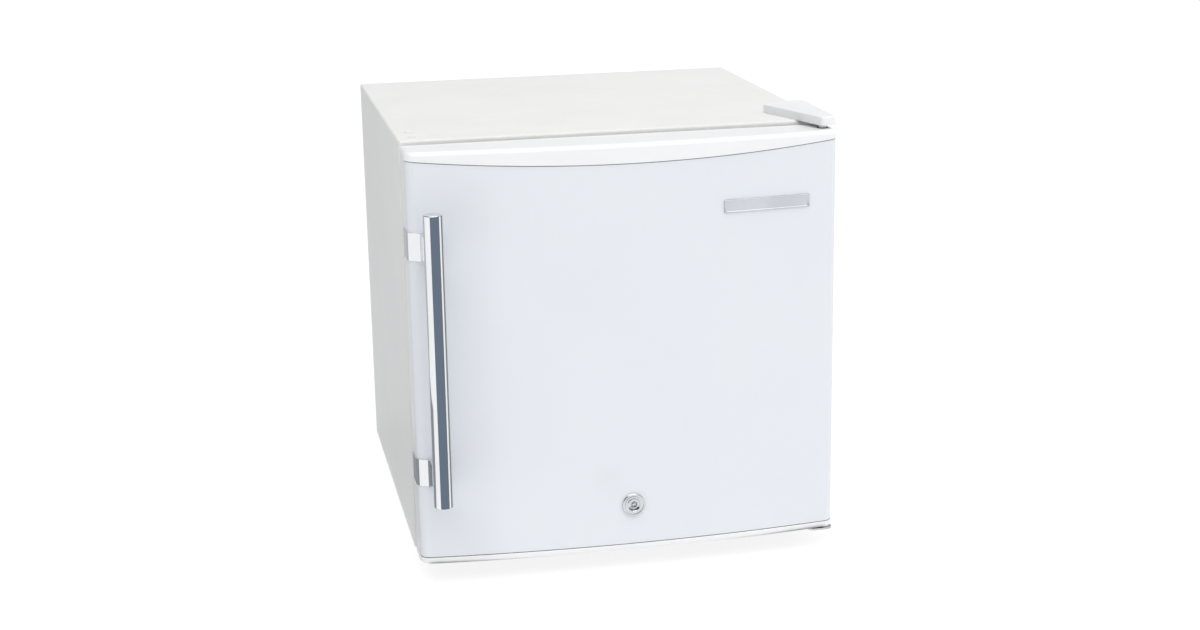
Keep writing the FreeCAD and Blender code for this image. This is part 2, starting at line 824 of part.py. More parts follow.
def bin_floors():
    """The height of each bin's underside."""
    low = lock_z + dyke_lock_clearance + dyke_width
    high = cavity_top - dyke_gap - dyke_width
    return (low + lower_bin_place, high - upper_bin_drop - upper_bin_height)


def make_gasket():
    """The magnetic seal: a soft hollow frame on the door's back, just off the cabinet's face."""
    inner_half = cavity_half + gasket_offset
    outer_half = inner_half + gasket_width
    inner_low = cavity_floor - gasket_offset
    inner_high = cavity_top + gasket_offset
    y0 = door_rear
    y1 = front_y - gasket_clearance
    outer = block(-outer_half, outer_half, y0, y1, inner_low - gasket_width, inner_high + gasket_width)
    inner = block(-inner_half, inner_half, y0 - past, y1 + past, inner_low, inner_high)
    hollow_outer = block(-outer_half + gasket_wall, outer_half - gasket_wall, y0 + gasket_wall, y1 - gasket_wall,
                         inner_low - gasket_width + gasket_wall, inner_high + gasket_width - gasket_wall)
    hollow_inner = block(-inner_half - gasket_wall, inner_half + gasket_wall, y0, y1,
                         inner_low - gasket_wall, inner_high + gasket_wall)
    keep("door_gasket", outer.cut(inner).cut(hollow_outer.cut(hollow_inner)))


def make_bins():
    """Two open bins that stand on the lugs between the raised sides of the door liner."""
    half = cavity_half - dyke_gap - dyke_width - bin_side_gap
    for name, floor, height in zip(("door_lower_bin", "door_upper_bin"), bin_floors(),
                                   (lower_bin_height, upper_bin_height)):
        outer = block(-half, half, door_rear, door_rear + bin_depth, floor, floor + height)
        outer = rounded(outer, liner_corner, lambda edge: along(edge, Z) and edge.Vertexes[0].Y > front_y)
        inner = block(-half + bin_wall, half - bin_wall, door_rear + bin_wall, door_rear + bin_depth - bin_wall,
                      floor + bin_wall, floor + height + past)
        inner = rounded(inner, liner_corner - bin_wall, lambda edge: along(edge, Z) and edge.Vertexes[0].Y > front_y)
        keep(name, outer.cut(inner))


# ---------------------------------------------------------------- handle, badge
def handle_bracket_centres():
    """The middle height of each handle bracket."""
    upper = bar_top - handle_upper_end - handle_bracket_height / 2
    lower = bar_bottom + handle_lower_end + handle_bracket_height / 2
    return (upper, lower)


def handle_screw_holes():
    """The holes for the screws that hold the brackets, through the skin into the foam."""
    return [rod(bar_x, bar_door_y - past, z, Y, handle_screw_radius, handle_screw_depth)
            for z in handle_bracket_centres()]


def make_handle():
    """The round bar, and brackets that wrap the door's side and stand forward to the bar."""
    bar = rod(bar_x, bar_y, bar_bottom, Z, bar_radius, bar_length)
    bar = rounded(bar, bar_edge, lambda edge: isinstance(edge.Curve, Part.Circle))
    keep("handle_bar", bar)

    solid_door = door_block(0, door_core_rear, door_bottom, door_top)
    inner_half = door_half - handle_flank
    brackets = []
    screws = []
    for z in handle_bracket_centres():
        low = z - handle_bracket_height / 2
        high = z + handle_bracket_height / 2
        wall = half_width - door_half
        plate = door_outline(-wall, panel_side_y + handle_flank, low).extrude(Z * handle_bracket_height)
        plate = plate.common(block(-half_width, -inner_half, door_mid - far, front_y, low, high))
        leg = block(bar_x - handle_leg_half, bar_x + handle_leg_half, bar_y, bar_door_y + wall, low, high)
        shape = join([plate, leg])
        shape = rounded(shape, handle_leg_half, lambda edge: is_leg_root(edge))
        shape = shape.cut(solid_door).cut(rod(bar_x, bar_y, low - past, Z, bar_radius, handle_bracket_height + 2 * past))
        shape = shape.cut(rod(bar_x, bar_y, z, Y, handle_screw_radius, far))
        brackets.append(shape)
        shank_start = bar_y + bar_radius
        shank = rod(bar_x, shank_start, z, Y, handle_screw_radius,
                    bar_door_y - past + handle_screw_depth - shank_start)
        screws.append(shank.cut(rod(bar_x, bar_y, low, Z, bar_radius, handle_bracket_height)))
    keep("handle_brackets", *brackets)
    keep("handle_screws", *screws)


def is_leg_root(edge):
    """True for the inside corner where a bracket's leg leaves its plate, on the outer side."""
    middle = edge.CenterOfMass
    return along(edge, Z) and abs(middle.x - (bar_x - handle_leg_half)) < near and middle.y > bar_y + bar_radius


def make_badge():
    """A plain raised badge plate that follows the bowed front."""
    left = door_half - badge_side_inset - badge_width
    top = door_top - badge_top_drop
    slab = door_outline(-badge_thickness, door_core_rear, top).extrude(Z * -badge_height)
    window = block(left, left + badge_width, door_mid - far, door_rear, top - badge_height, top)
    plate = slab.common(window).cut(door_block(0, door_core_rear, door_bottom, door_top))
    keep("badge_plate", plate)


# ---------------------------------------------------------------- lock
def make_lock():
    """The lock's barrel and nut, the turning plug with its spindle, the cam and its keeper."""
    sleeve_end = front_y + spindle_sleeve_end
    bezel = rod(0, door_mid - lock_bezel_height, lock_z, Y, lock_bezel_radius, lock_bezel_height)
    bezel = rounded(bezel, lock_bezel_height / 3,
                    lambda edge: abs(edge.CenterOfMass.y - door_mid + lock_bezel_height) < near)
    barrel = rod(0, door_mid, lock_z, Y, lock_barrel_radius, lock_barrel_length)
    sleeve = rod(0, door_mid + lock_barrel_length, lock_z, Y, spindle_sleeve_radius,
                 sleeve_end - door_mid - lock_barrel_length)
    body = join([bezel, barrel, sleeve])
    body = body.cut(rod(0, door_mid - lock_bezel_height - past, lock_z, Y, lock_plug_radius + lock_fit,
                        lock_bezel_height + past + lock_barrel_length - lock_plug_radius))
    body = body.cut(rod(0, door_mid - past, lock_z, Y, spindle_radius + lock_fit, far))
    keep("lock_barrel", body)
    keep("lock_nut", ring(0, door_mid + panel_skin + lock_nut_gap, lock_z, Y, lock_nut_radius,
                          lock_barrel_radius, lock_nut_height))

    plug_front = door_mid - lock_bezel_height + lock_plug_recess
    plug_back = door_mid + lock_barrel_length - lock_plug_radius - lock_fit
    cam_front = front_y + cam_place
    plug = rod(0, plug_front, lock_z, Y, lock_plug_radius, plug_back - plug_front)
    plug = plug.cut(ring(0, plug_front - past, lock_z, Y, lock_key_slot_outer, lock_key_slot_inner,
                         lock_key_slot_depth + past))
    spindle = rod(0, plug_back, lock_z, Y, spindle_radius, cam_front + cam_thickness - plug_back)
    nut = rod(0, cam_front + cam_thickness, lock_z, Y, cam_nut_radius, cam_nut_height)
    keep("lock_plug", join([plug, spindle, nut]))

    reach = lock_z - cavity_floor - keeper_plate - cam_tip_clearance
    cam = block(0, reach, cam_front, cam_front + cam_thickness, lock_z - cam_half_width, lock_z + cam_half_width)
    cam = join([cam, rod(0, cam_front, lock_z, Y, cam_half_width, cam_thickness)])
    cam = rounded(cam, cam_half_width / 2, lambda edge: along(edge, Y) and edge.Vertexes[0].X > reach - past)
    keep("lock_cam", cam.cut(rod(0, cam_front - past, lock_z, Y, spindle_radius, cam_thickness + 2 * past)))

    tab_back = cam_front - keeper_gap
    tab = block(-keeper_half_width, keeper_half_width, tab_back - keeper_plate, tab_back,
                cavity_floor, cavity_floor + keeper_height)
    foot = block(-keeper_half_width, keeper_half_width, tab_back - keeper_plate,
                 tab_back - keeper_plate + keeper_length, cavity_floor, cavity_floor + keeper_plate)
    keeper = join([tab, foot])
    screws = []
    for side in (-1, 1):
        x = side * keeper_screw_x
        keeper = keeper.cut(rod(x, keeper_screw_y, cavity_floor - past, Z, keeper_screw_radius, keeper_plate + 2 * past))
        head = rod(x, keeper_screw_y, cavity_floor + keeper_plate, Z, keeper_screw_head_radius,
                   keeper_screw_head)
        shank = rod(x, keeper_screw_y, cavity_floor - keeper_screw_length, Z, keeper_screw_radius,
                    keeper_screw_length + keeper_plate)
        screws.append(join([head, shank]))
    keep("lock_keeper", keeper)
    keep("lock_keeper_screws", *screws)


# ---------------------------------------------------------------- inside the cavity
def make_ice_compartment():
    """The folded evaporator box, its rails, the flap over its mouth and the drip tray below."""
    left = evaporator_left
    right = left + evaporator_width
    high = cavity_top - evaporator_top_gap
    low = high - evaporator_height
    y0 = front_y + evaporator_front
    y1 = y0 + evaporator_depth
    box = block(left, right, y0, y1, low, high)
    box = box.cut(block(left + evaporator_skin, right - evaporator_skin, y0 - past, y1 - evaporator_skin,
                        low + evaporator_skin, high - evaporator_skin))
    keep("evaporator", box)

    tray_high = low - rail_wall - tray_top_gap
    tray_low = tray_high - tray_height
    axis_y = y0 - flap_gap - flap_thickness / 2
    axis_z = low + flap_axis_height
    rails = []
    for wall_x, inward in ((left, 1), (right, -1)):
        outside = wall_x - inward * rail_wall
        inside = wall_x + inward * rail_foot
        web = block(min(wall_x, outside), max(wall_x, outside), y0 - rail_front_reach, y1,
                    tray_low - rail_wall, cavity_top)
        ledge = block(min(wall_x, inside), max(wall_x, inside), y0, y1, low - rail_wall, low)
        foot = block(min(wall_x, inside), max(wall_x, inside), y0, y1, tray_low - rail_wall, tray_low)
        rail = join([web, ledge, foot])
        rails.append(rail.cut(rod(outside, axis_y, axis_z, X * inward, flap_pin_radius + pin_fit,
                                  rail_wall)))
    keep("evaporator_rails", *rails)

    tray = block(left + tray_side_gap, right - tray_side_gap, y0, y1 - tray_lip, tray_low, tray_high)
    tray = tray.cut(block(left + tray_side_gap + tray_wall, right - tray_side_gap - tray_wall, y0 + tray_wall,
                          y1 - tray_lip - tray_wall, tray_low + tray_wall, tray_high + past))
    grip = block(left + tray_side_gap, right - tray_side_gap, y0 - tray_lip, y0,
                 tray_high - tray_wall, tray_high)
    keep("drip_tray", join([tray, grip]))

    flap = block(left + flap_side_gap, right - flap_side_gap, axis_y - flap_thickness / 2,
                 axis_y + flap_thickness / 2, axis_z - flap_foot, high)
    pins = [rod(left + flap_side_gap, axis_y, axis_z, X * -1, flap_pin_radius, rail_wall + flap_side_gap),
            rod(right - flap_side_gap, axis_y, axis_z, X, flap_pin_radius, rail_wall + flap_side_gap)]
    pull = block(-flap_pull_half, flap_pull_half, axis_y - flap_thickness / 2 - flap_thickness * 2,
                 axis_y - flap_thickness / 2, high - flap_thickness * 2, high - flap_thickness)
    pull.translate(Vector((left + right) / 2, 0, 0))
    keep("freezer_flap", join([flap, pull] + pins))


def make_thermostat():
    """The control box on the liner's ceiling, its switch, its knob and its sensing bulb."""
    right = thermostat_right
    left = thermostat_left
    y0 = front_y + thermostat_front
    y1 = y0 + thermostat_depth
    low = cavity_top - thermostat_height
    middle_x = (left + right) / 2
    middle_z = low + thermostat_height / 2
    housing = block(left, right, y0, y1, low, cavity_top)
    housing = rounded(housing, thermostat_corner, lambda edge: along(edge, Y) and edge.Vertexes[0].Z < low + past)
    housing = housing.cut(block(left + thermostat_wall, right - thermostat_wall, y0 + thermostat_wall,
                                y1 - thermostat_wall, low + thermostat_wall, cavity_top + past))
    housing = housing.cut(rod(middle_x, y0 - past, middle_z, Y, knob_shaft_radius + pin_fit, thermostat_wall + 2 * past))
    keep("thermostat_housing", housing)

    switch_y = y0 + thermostat_wall
    switch = block(middle_x - switch_width / 2, middle_x + switch_width / 2, switch_y, switch_y + switch_depth,
                   middle_z - switch_height / 2, middle_z + switch_height / 2)
    switch = switch.cut(rod(middle_x, switch_y - past, middle_z, Y, knob_shaft_radius + pin_fit,
                            knob_shaft_length + 2 * past))
    keep("thermostat_switch", switch)

    face = y0 - knob_gap
    dial = rod(middle_x, face - knob_height, middle_z, Y, knob_radius, knob_height)
    dial = rounded(dial, knob_gap, lambda edge: abs(edge.CenterOfMass.y - face + knob_height) < near)
    shaft = rod(middle_x, face, middle_z, Y, knob_shaft_radius, knob_gap + knob_shaft_length)
    grip = block(middle_x - knob_shaft_radius, middle_x + knob_shaft_radius,
                 face - knob_height - knob_shaft_radius, face - knob_height,
                 middle_z - knob_radius + knob_shaft_radius, middle_z + knob_radius - knob_shaft_radius)
    keep("thermostat_knob", join([dial, shaft, grip]))

    bulb_x = evaporator_left + evaporator_width + rail_wall
    bulb_y = front_y + evaporator_front + evaporator_depth / 2
    bulb_z = cavity_top - evaporator_top_gap - evaporator_height / 2
    bulb = rod(bulb_x + bulb_radius, bulb_y, bulb_z, Y, bulb_radius, bulb_length)
    lead = rod(bulb_x + bulb_radius, bulb_y - bulb_length / 2, bulb_z, Y, capillary_radius, bulb_length / 2)
    cross = rod(bulb_x + bulb_radius, bulb_y - bulb_length / 2, bulb_z, X, capillary_radius,
                left - bulb_x - bulb_radius)
    knee = Part.makeSphere(capillary_knee * capillary_radius, Vector(bulb_x + bulb_radius, bulb_y - bulb_length / 2, bulb_z))
    keep("thermostat_bulb", join([bulb, lead, knee, cross]))


def make_shelf():
    """A wire shelf on the liner's ribs: a round rim, two stays and wires from front to back."""
    half = cavity_half - shelf_side_gap - shelf_rim_radius
    z = shelf_z + shelf_clearance + shelf_rim_radius
    y0 = front_y + shelf_front + shelf_rim_radius
    y1 = cavity_back - shelf_rear_gap - shelf_rim_radius
    pieces = [pipe([(0, y0, z), (side * half, y0, z), (side * half, y1, z), (0, y1, z)], shelf_rim_radius,
                   shelf_bend) for side in (-1, 1)]
    pitch = 2 * half / (shelf_wire_count + 1)
    pieces += [rod(-half + pitch * (index + 1), y0, z, Y, shelf_wire_radius, y1 - y0)
               for index in range(shelf_wire_count)]
    keep("wire_shelf", join(pieces))


# ---------------------------------------------------------------- refrigeration
def make_compressor():
    """The welded compressor can on its cradle, with grommets, bolts and the relay cover."""
    plate_top = base_z + steel + plate_steel
    cradle_low = plate_top + grommet_height
    can_low = cradle_low + cradle_thickness
    can = rod(compressor_place, compressor_y, can_low, Z, compressor_radius, compressor_height)
    can = rounded(can, compressor_dome, lambda edge: isinstance(edge.Curve, Part.Circle))
    belt = rod(compressor_place, compressor_y, can_low + compressor_height / 2, Z,
               compressor_radius + compressor_belt, compressor_belt_height)
    keep("compressor", join([can, belt]))

    reach_x = grommet_spread_x + cradle_margin
    reach_y = grommet_spread_y + cradle_margin
    cradle = block(compressor_place - reach_x, compressor_place + reach_x, compressor_y - reach_y,
                   compressor_y + reach_y, cradle_low, can_low)
    cradle = rounded(cradle, cradle_margin, lambda edge: along(edge, Z))
    grommets = []
    bolts = []
    for sx in (-1, 1):
        for sy in (-1, 1):
            x = compressor_place + sx * grommet_spread_x
            y = compressor_y + sy * grommet_spread_y
            cradle = cradle.cut(rod(x, y, cradle_low - past, Z, bolt_radius + bolt_fit, cradle_thickness + 2 * past))
            grommets.append(ring(x, y, plate_top, Z, grommet_radius, bolt_radius + bolt_fit, grommet_height))
            head = rod(x, y, can_low, Z, bolt_head_radius, bolt_head)
            shank = rod(x, y, base_z, Z, bolt_radius, can_low - base_z)
            bolts.append(join([head, shank]))
    keep("compressor_cradle", cradle)
    keep("compressor_grommets", *grommets)
    keep("compressor_bolts", *bolts)

    relay_x = compressor_place + compressor_radius
    relay = block(relay_x - relay_width / 2, relay_x + relay_width, compressor_y - relay_depth / 2,
                  compressor_y + relay_depth / 2, can_low + relay_place, can_low + relay_place + relay_height)
    relay = rounded(relay, relay_width / 5, lambda edge: edge.CenterOfMass.x > relay_x + relay_width - near)
    envelope = rod(compressor_place, compressor_y, can_low, Z, compressor_radius + compressor_belt,
                   compressor_height)
    keep("relay_cover", relay.cut(envelope))


def make_refrigerant_lines():
    """The dryer and the tubes that join compressor, condenser and evaporator."""
    can_low = base_z + steel + plate_steel + grommet_height + cradle_thickness
    tube_y = rear_y + condenser_standoff
    dryer_y = rear_y - dryer_setback
    dryer_z = base_z + dryer_floor
    body = rod(dryer_place, dryer_y, dryer_z, Z, dryer_radius, dryer_length)
    body = rounded(body, dryer_radius * dryer_round, lambda edge: isinstance(edge.Curve, Part.Circle))
    necks = [rod(dryer_place, dryer_y, dryer_z - dryer_neck, Z, line_radius, 2 * dryer_neck),
             rod(dryer_place, dryer_y, dryer_z + dryer_length - dryer_neck, Z, line_radius, 2 * dryer_neck)]
    keep("filter_dryer", join([body] + necks))

    line_bend = 4 * line_radius
    port_z = can_low + compressor_height * discharge_share
    port_x = compressor_place - compressor_radius + line_radius
    left = -half_width + condenser_side_gap
    discharge = pipe([
        (port_x, compressor_y, port_z), (left, compressor_y, port_z), (left, tube_y, port_z),
        (left, tube_y, condenser_start_z)], condenser_tube_radius, line_bend)
    can_skin = rod(compressor_place, compressor_y, can_low, Z, compressor_radius, compressor_height)
    keep("discharge_line", discharge.cut(can_skin))

    suction_x = compressor_place + compressor_radius * suction_share_x
    suction_y = compressor_y - compressor_radius * suction_share_y
    suction = pipe([
        (suction_x, suction_y, can_low + compressor_height * suction_share_z),
        (suction_x, suction_y, niche_roof - line_bend * suction_drop),
        (suction_x + 3 * line_bend, suction_y, niche_roof - line_bend * suction_drop),
        (suction_x + 3 * line_bend, suction_y, niche_roof)], line_radius, line_bend * suction_bend)
    keep("suction_line", suction.cut(nodes["compressor"]))

    top = dryer_z + dryer_length + dryer_neck
    capillary = pipe([
        (dryer_place, dryer_y, top), (dryer_place, dryer_y, top + dryer_neck),
        (dryer_place - 2 * dryer_neck, dryer_y, top + dryer_neck),
        (dryer_place - 2 * dryer_neck, dryer_y, niche_roof)], capillary_radius, dryer_neck * capillary_bend)
    keep("capillary_line", capillary)


def make_condenser():
    """The serpentine tube with vertical wires on both faces, held off the back by clips."""
    tube_y = rear_y + condenser_standoff
    left = -half_width + condenser_side_gap
    right = half_width - condenser_side_gap
    high = top_z - condenser_top_gap
    low = niche_roof + condenser_bottom_gap
    pitch = (high - low) / (condenser_rows - 1)
    bend = pitch * condenser_bend
    points = [(left, tube_y, condenser_start_z), (left, tube_y, high)]
    inner_left = left + 2 * bend
    side_x = right
    for row in range(condenser_rows):
        z = high - row * pitch
        if row:
            points.append((points[-1][0], tube_y, z))
        points.append((side_x, tube_y, z))
        side_x = inner_left if side_x == right else right
    dryer_y = rear_y - dryer_setback
    end_x = points[-1][0]
    dryer_low = base_z + dryer_floor - dryer_neck
    drop = dryer_low - 2 * dryer_neck
    points += [(end_x, tube_y, drop), (dryer_place, tube_y, drop), (dryer_place, dryer_y, drop),
               (dryer_place, dryer_y, dryer_low)]
    keep("condenser_tube", pipe(points, condenser_tube_radius, bend))

    grids = []
    wire_low = low - condenser_overhang
    wire_high = high + condenser_overhang
    span = right - left - 4 * bend
    count = int(span / condenser_wire_pitch)
    start = (left + right) / 2 + bend - count * condenser_wire_pitch / 2
    for side in (-1, 1):
        y = tube_y + side * (condenser_tube_radius + condenser_wire_radius)
        wires = [rod(start + index * condenser_wire_pitch, y, wire_low, Z, condenser_wire_radius,
                     wire_high - wire_low) for index in range(count + 1)]
        ties = [rod(start - condenser_tie_inset, y, z, X, condenser_wire_radius,
                    count * condenser_wire_pitch + 2 * condenser_tie_inset)
                for z in (wire_low + condenser_tie_inset, wire_high - condenser_tie_inset)]
        grids.append(wires[0].multiFuse(wires[1:] + ties))
    keep("condenser_wires", *[largest(grid) for grid in grids])

    clips = []
    for place in (clip_wire_gap, count - clip_wire_gap):
        x = start + place * condenser_wire_pitch
        for row in (1, condenser_rows - 2):
            z = high - row * pitch
            foot = block(x - clip_half_width, x + clip_half_width, rear_y - steel, rear_y + clip_foot,
                         z - clip_half_height, z + clip_half_height)
            post = block(x - clip_post, x + clip_post, rear_y, tube_y + condenser_tube_radius + clip_post,
                         z - clip_half_height, z + clip_half_height)
            hole = rod(x - 2 * clip_post, tube_y, z, X, condenser_tube_radius + clip_fit, 4 * clip_post)
            clips.append(join([foot, post]).cut(hole))
    keep("condenser_clips", *clips)


# Places that several groups share
hinge_screw_x = pin_x - pin_radius
front_foot_x = half_width - front_foot_inset
front_foot_y = front_y + front_foot_setback
keeper_screw_x = keeper_half_width * keeper_screw_spread
keeper_screw_y = front_y + cam_place - keeper_gap - keeper_plate + keeper_length * keeper_screw_back
shelf_z = step_top + shelf_height
thermostat_right = cavity_half - liner_corner - thermostat_side_gap
thermostat_left = thermostat_right - thermostat_width
evaporator_left = -cavity_half + liner_corner + evaporator_side_gap + rail_wall
evaporator_width = thermostat_left - evaporator_box_gap - rail_wall - evaporator_left
evaporator_depth = cavity_back - evaporator_rear_gap - front_y - evaporator_front
compressor_y = rear_y - compressor_setback
flap_pull_half = evaporator_height / 2
condenser_start_z = niche_roof

make_cabinet()
make_base_fittings()
make_hinges()
make_door()
make_handle()
make_badge()
make_lock()
make_ice_compartment()
make_thermostat()
make_shelf()
make_compressor()
make_condenser()
make_refrigerant_lines()

os.makedirs("parts", exist_ok=True)
for name, shape in nodes.items():
    shape.exportStep("parts/" + name + ".step")
    solids = shape.Solids
    print(name, len(solids), round(sum(solid.Volume for solid in solids)), shape.isValid())
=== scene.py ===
"""A compact cube refrigerator, dressed for its picture.

Sizes are millimetres unless a name says otherwise; meshes are written in metres.
+Z is up, the door faces -Y and hangs at +X.
"""
import json
import logging
import math
from dataclasses import dataclass, field
from enum import Enum
from typing import Any, Sequence

import bmesh
import bpy
import numpy as np
from mathutils import Matrix, Vector

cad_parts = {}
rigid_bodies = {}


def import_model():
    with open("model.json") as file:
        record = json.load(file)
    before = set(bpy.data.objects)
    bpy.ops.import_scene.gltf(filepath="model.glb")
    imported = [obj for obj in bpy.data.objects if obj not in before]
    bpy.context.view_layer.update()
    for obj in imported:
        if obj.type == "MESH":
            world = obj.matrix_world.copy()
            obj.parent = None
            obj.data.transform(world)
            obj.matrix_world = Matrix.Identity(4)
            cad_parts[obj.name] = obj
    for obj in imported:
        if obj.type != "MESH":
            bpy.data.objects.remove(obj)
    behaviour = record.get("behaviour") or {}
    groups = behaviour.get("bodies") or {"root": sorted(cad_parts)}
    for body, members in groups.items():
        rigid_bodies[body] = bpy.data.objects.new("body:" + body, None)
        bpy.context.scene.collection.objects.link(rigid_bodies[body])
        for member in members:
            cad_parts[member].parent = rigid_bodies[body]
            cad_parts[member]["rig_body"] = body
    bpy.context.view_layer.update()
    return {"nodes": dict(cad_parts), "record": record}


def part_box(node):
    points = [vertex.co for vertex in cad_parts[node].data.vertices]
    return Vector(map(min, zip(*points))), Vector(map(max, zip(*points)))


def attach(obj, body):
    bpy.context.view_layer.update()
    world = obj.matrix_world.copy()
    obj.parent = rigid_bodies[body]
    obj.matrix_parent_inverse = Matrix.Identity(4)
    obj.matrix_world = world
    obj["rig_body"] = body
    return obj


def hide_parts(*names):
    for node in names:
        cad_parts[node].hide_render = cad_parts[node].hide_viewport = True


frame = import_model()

logging.basicConfig(level=logging.INFO, format="%(message)s")
log = logging.getLogger("fridge")

MM = 0.001
MERGE_DISTANCE = 1e-6
FLAT_ANGLE = 0.6
CRISP_ANGLE = 32.0
SLOTS = {row["node"]: row["material_slot"] for row in frame["record"]["subparts"]}
Rgb = tuple[float, float, float]


# ---- shader maths
class Signal:
    """A value that varies over a surface, with arithmetic that adds Math nodes."""

    def __init__(self, graph: "Graph", socket: bpy.types.NodeSocket) -> None:
        """Keeps the graph and the socket that carries the value."""
        self.graph = graph
        self.socket = socket

    def _maths(self, operation: str, first: Any, second: Any) -> "Signal":
        """One Math node on two signals or numbers."""
        return self.graph.node("ShaderNodeMath", {"operation": operation}, {0: first, 1: second})

    def __add__(self, other: Any) -> "Signal":
        """Sum."""
        return self._maths("ADD", self, other)

    def __radd__(self, other: Any) -> "Signal":
        """Sum with a number in front."""
        return self._maths("ADD", other, self)

    def __sub__(self, other: Any) -> "Signal":
        """Difference."""
        return self._maths("SUBTRACT", self, other)

    def __rsub__(self, other: Any) -> "Signal":
        """Difference from a number."""
        return self._maths("SUBTRACT", other, self)

    def __mul__(self, other: Any) -> "Signal":
        """Product."""
        return self._maths("MULTIPLY", self, other)

    def __rmul__(self, other: Any) -> "Signal":
        """Product with a number in front."""
        return self._maths("MULTIPLY", other, self)

    def ramp(self, low: float, high: float) -> "Signal":
        """0 below low, 1 above high, and a smooth step between."""
        return self.graph.node("ShaderNodeMapRange", {"interpolation_type": "SMOOTHSTEP"},
                               {"Value": self, "From Min": low, "From Max": high})


class Graph:
    """The nodes of one material, or of the air round the studio."""

    def __init__(self, name: str, sky: bool = False) -> None:
        """Starts empty nodes with one shader.

        Args:
            name: the material's name.
            sky: True for the air's Background shader, False for a material's Principled one.
        """
        owner = bpy.data.worlds if sky else bpy.data.materials
        kind = ("ShaderNodeBackground", "ShaderNodeOutputWorld") if sky else (
            "ShaderNodeBsdfPrincipled", "ShaderNodeOutputMaterial")
        self.material = owner.new(name)
        self.material.use_nodes = True
        self.tree = self.material.node_tree
        self.tree.nodes.clear()
        self.shader = self.tree.nodes.new(kind[0])
        output = self.tree.nodes.new(kind[1])
        self.tree.links.new(self.shader.outputs[0], output.inputs[0])

    def plug(self, socket: bpy.types.NodeSocket, value: Any) -> None:
        """Links a signal to a socket, or sets a constant on it.

        Args:
            socket: the input socket.
            value: a signal, a number or a tuple.
        """
        if isinstance(value, Signal):
            self.tree.links.new(value.socket, socket)
        elif isinstance(value, tuple) and len(value) == 3 and socket.type == "RGBA":
            socket.default_value = (*value, 1.0)
        else:
            socket.default_value = value

    def node(self, kind: str, settings: dict[str, Any] | None = None,
             inputs: dict[Any, Any] | None = None, output: Any = 0) -> Signal:
        """Adds any node.

        Args:
            kind: the node's type.
            settings: its properties, set first.
            inputs: values or signals for its sockets, by name or number.
            output: the output that the signal reads.

        Returns:
            The chosen output as a signal.
        """
        made = self.tree.nodes.new(kind)
        for key, value in (settings or {}).items():
            setattr(made, key, value)
        for key, value in (inputs or {}).items():
            self.plug(made.inputs[key], value)
        return Signal(self, made.outputs[output])

    def blend(self, first: Any, second: Any, share: Any) -> Signal:
        """Two colours mixed: the first at share 0, the second at share 1."""
        return self.node("ShaderNodeMix", {"data_type": "RGBA"}, {0: share, 6: first, 7: second}, 2)

    def place(self, stretch: Rgb = (1.0, 1.0, 1.0)) -> Signal:
        """Object coordinates, stretched per axis."""
        where = self.node("ShaderNodeTexCoord", output="Object")
        return self.node("ShaderNodeMapping", {}, {"Vector": where, "Scale": stretch})

    def noise(self, where: Signal, size: float, detail: float = 3.0) -> Signal:
        """Noise from 0 to 1 in clouds of a size in millimetres, with finer layers by the detail."""
        return self.node("ShaderNodeTexNoise", {},
                         {"Vector": where, "Scale": 1 / (size * MM), "Detail": detail})

    def part(self, vector: Signal, axis: int) -> Signal:
        """One coordinate of a vector: x is 0, y is 1 and z is 2."""
        return self.node("ShaderNodeSeparateXYZ", {}, {0: vector}, axis)

    def dress(self, values: dict[str, Any]) -> None:
        """Plugs values into the shader's sockets by their names."""
        for key, value in values.items():
            self.plug(self.shader.inputs[key], value)


CLOUD_STEP, CLOUD_SHARE = (0.35, 0.7), 0.75
FINE_STEP, FINE_SHARE = (0.45, 0.75), 0.25
FINE_SIZE, FINE_LAYERS = 8, 5.0
DUST_COLOUR, DUST_ROUGHNESS = (0.55, 0.53, 0.5), 0.3
DUST_SLOPE, DUST_PATCH, DUST_SIZE, DUST_LAYERS = (0.6, 1.0), (0.4, 0.8), 14.0, 6.0


class Grain(Enum):
    """The kinds of fine surface relief."""

    PEEL = "sprayed or powder paint"
    PEBBLE = "moulded texture"
    BRUSHED = "drawn lines"
    SPANGLE = "zinc crystals"
    POLISHED = "faint waviness"


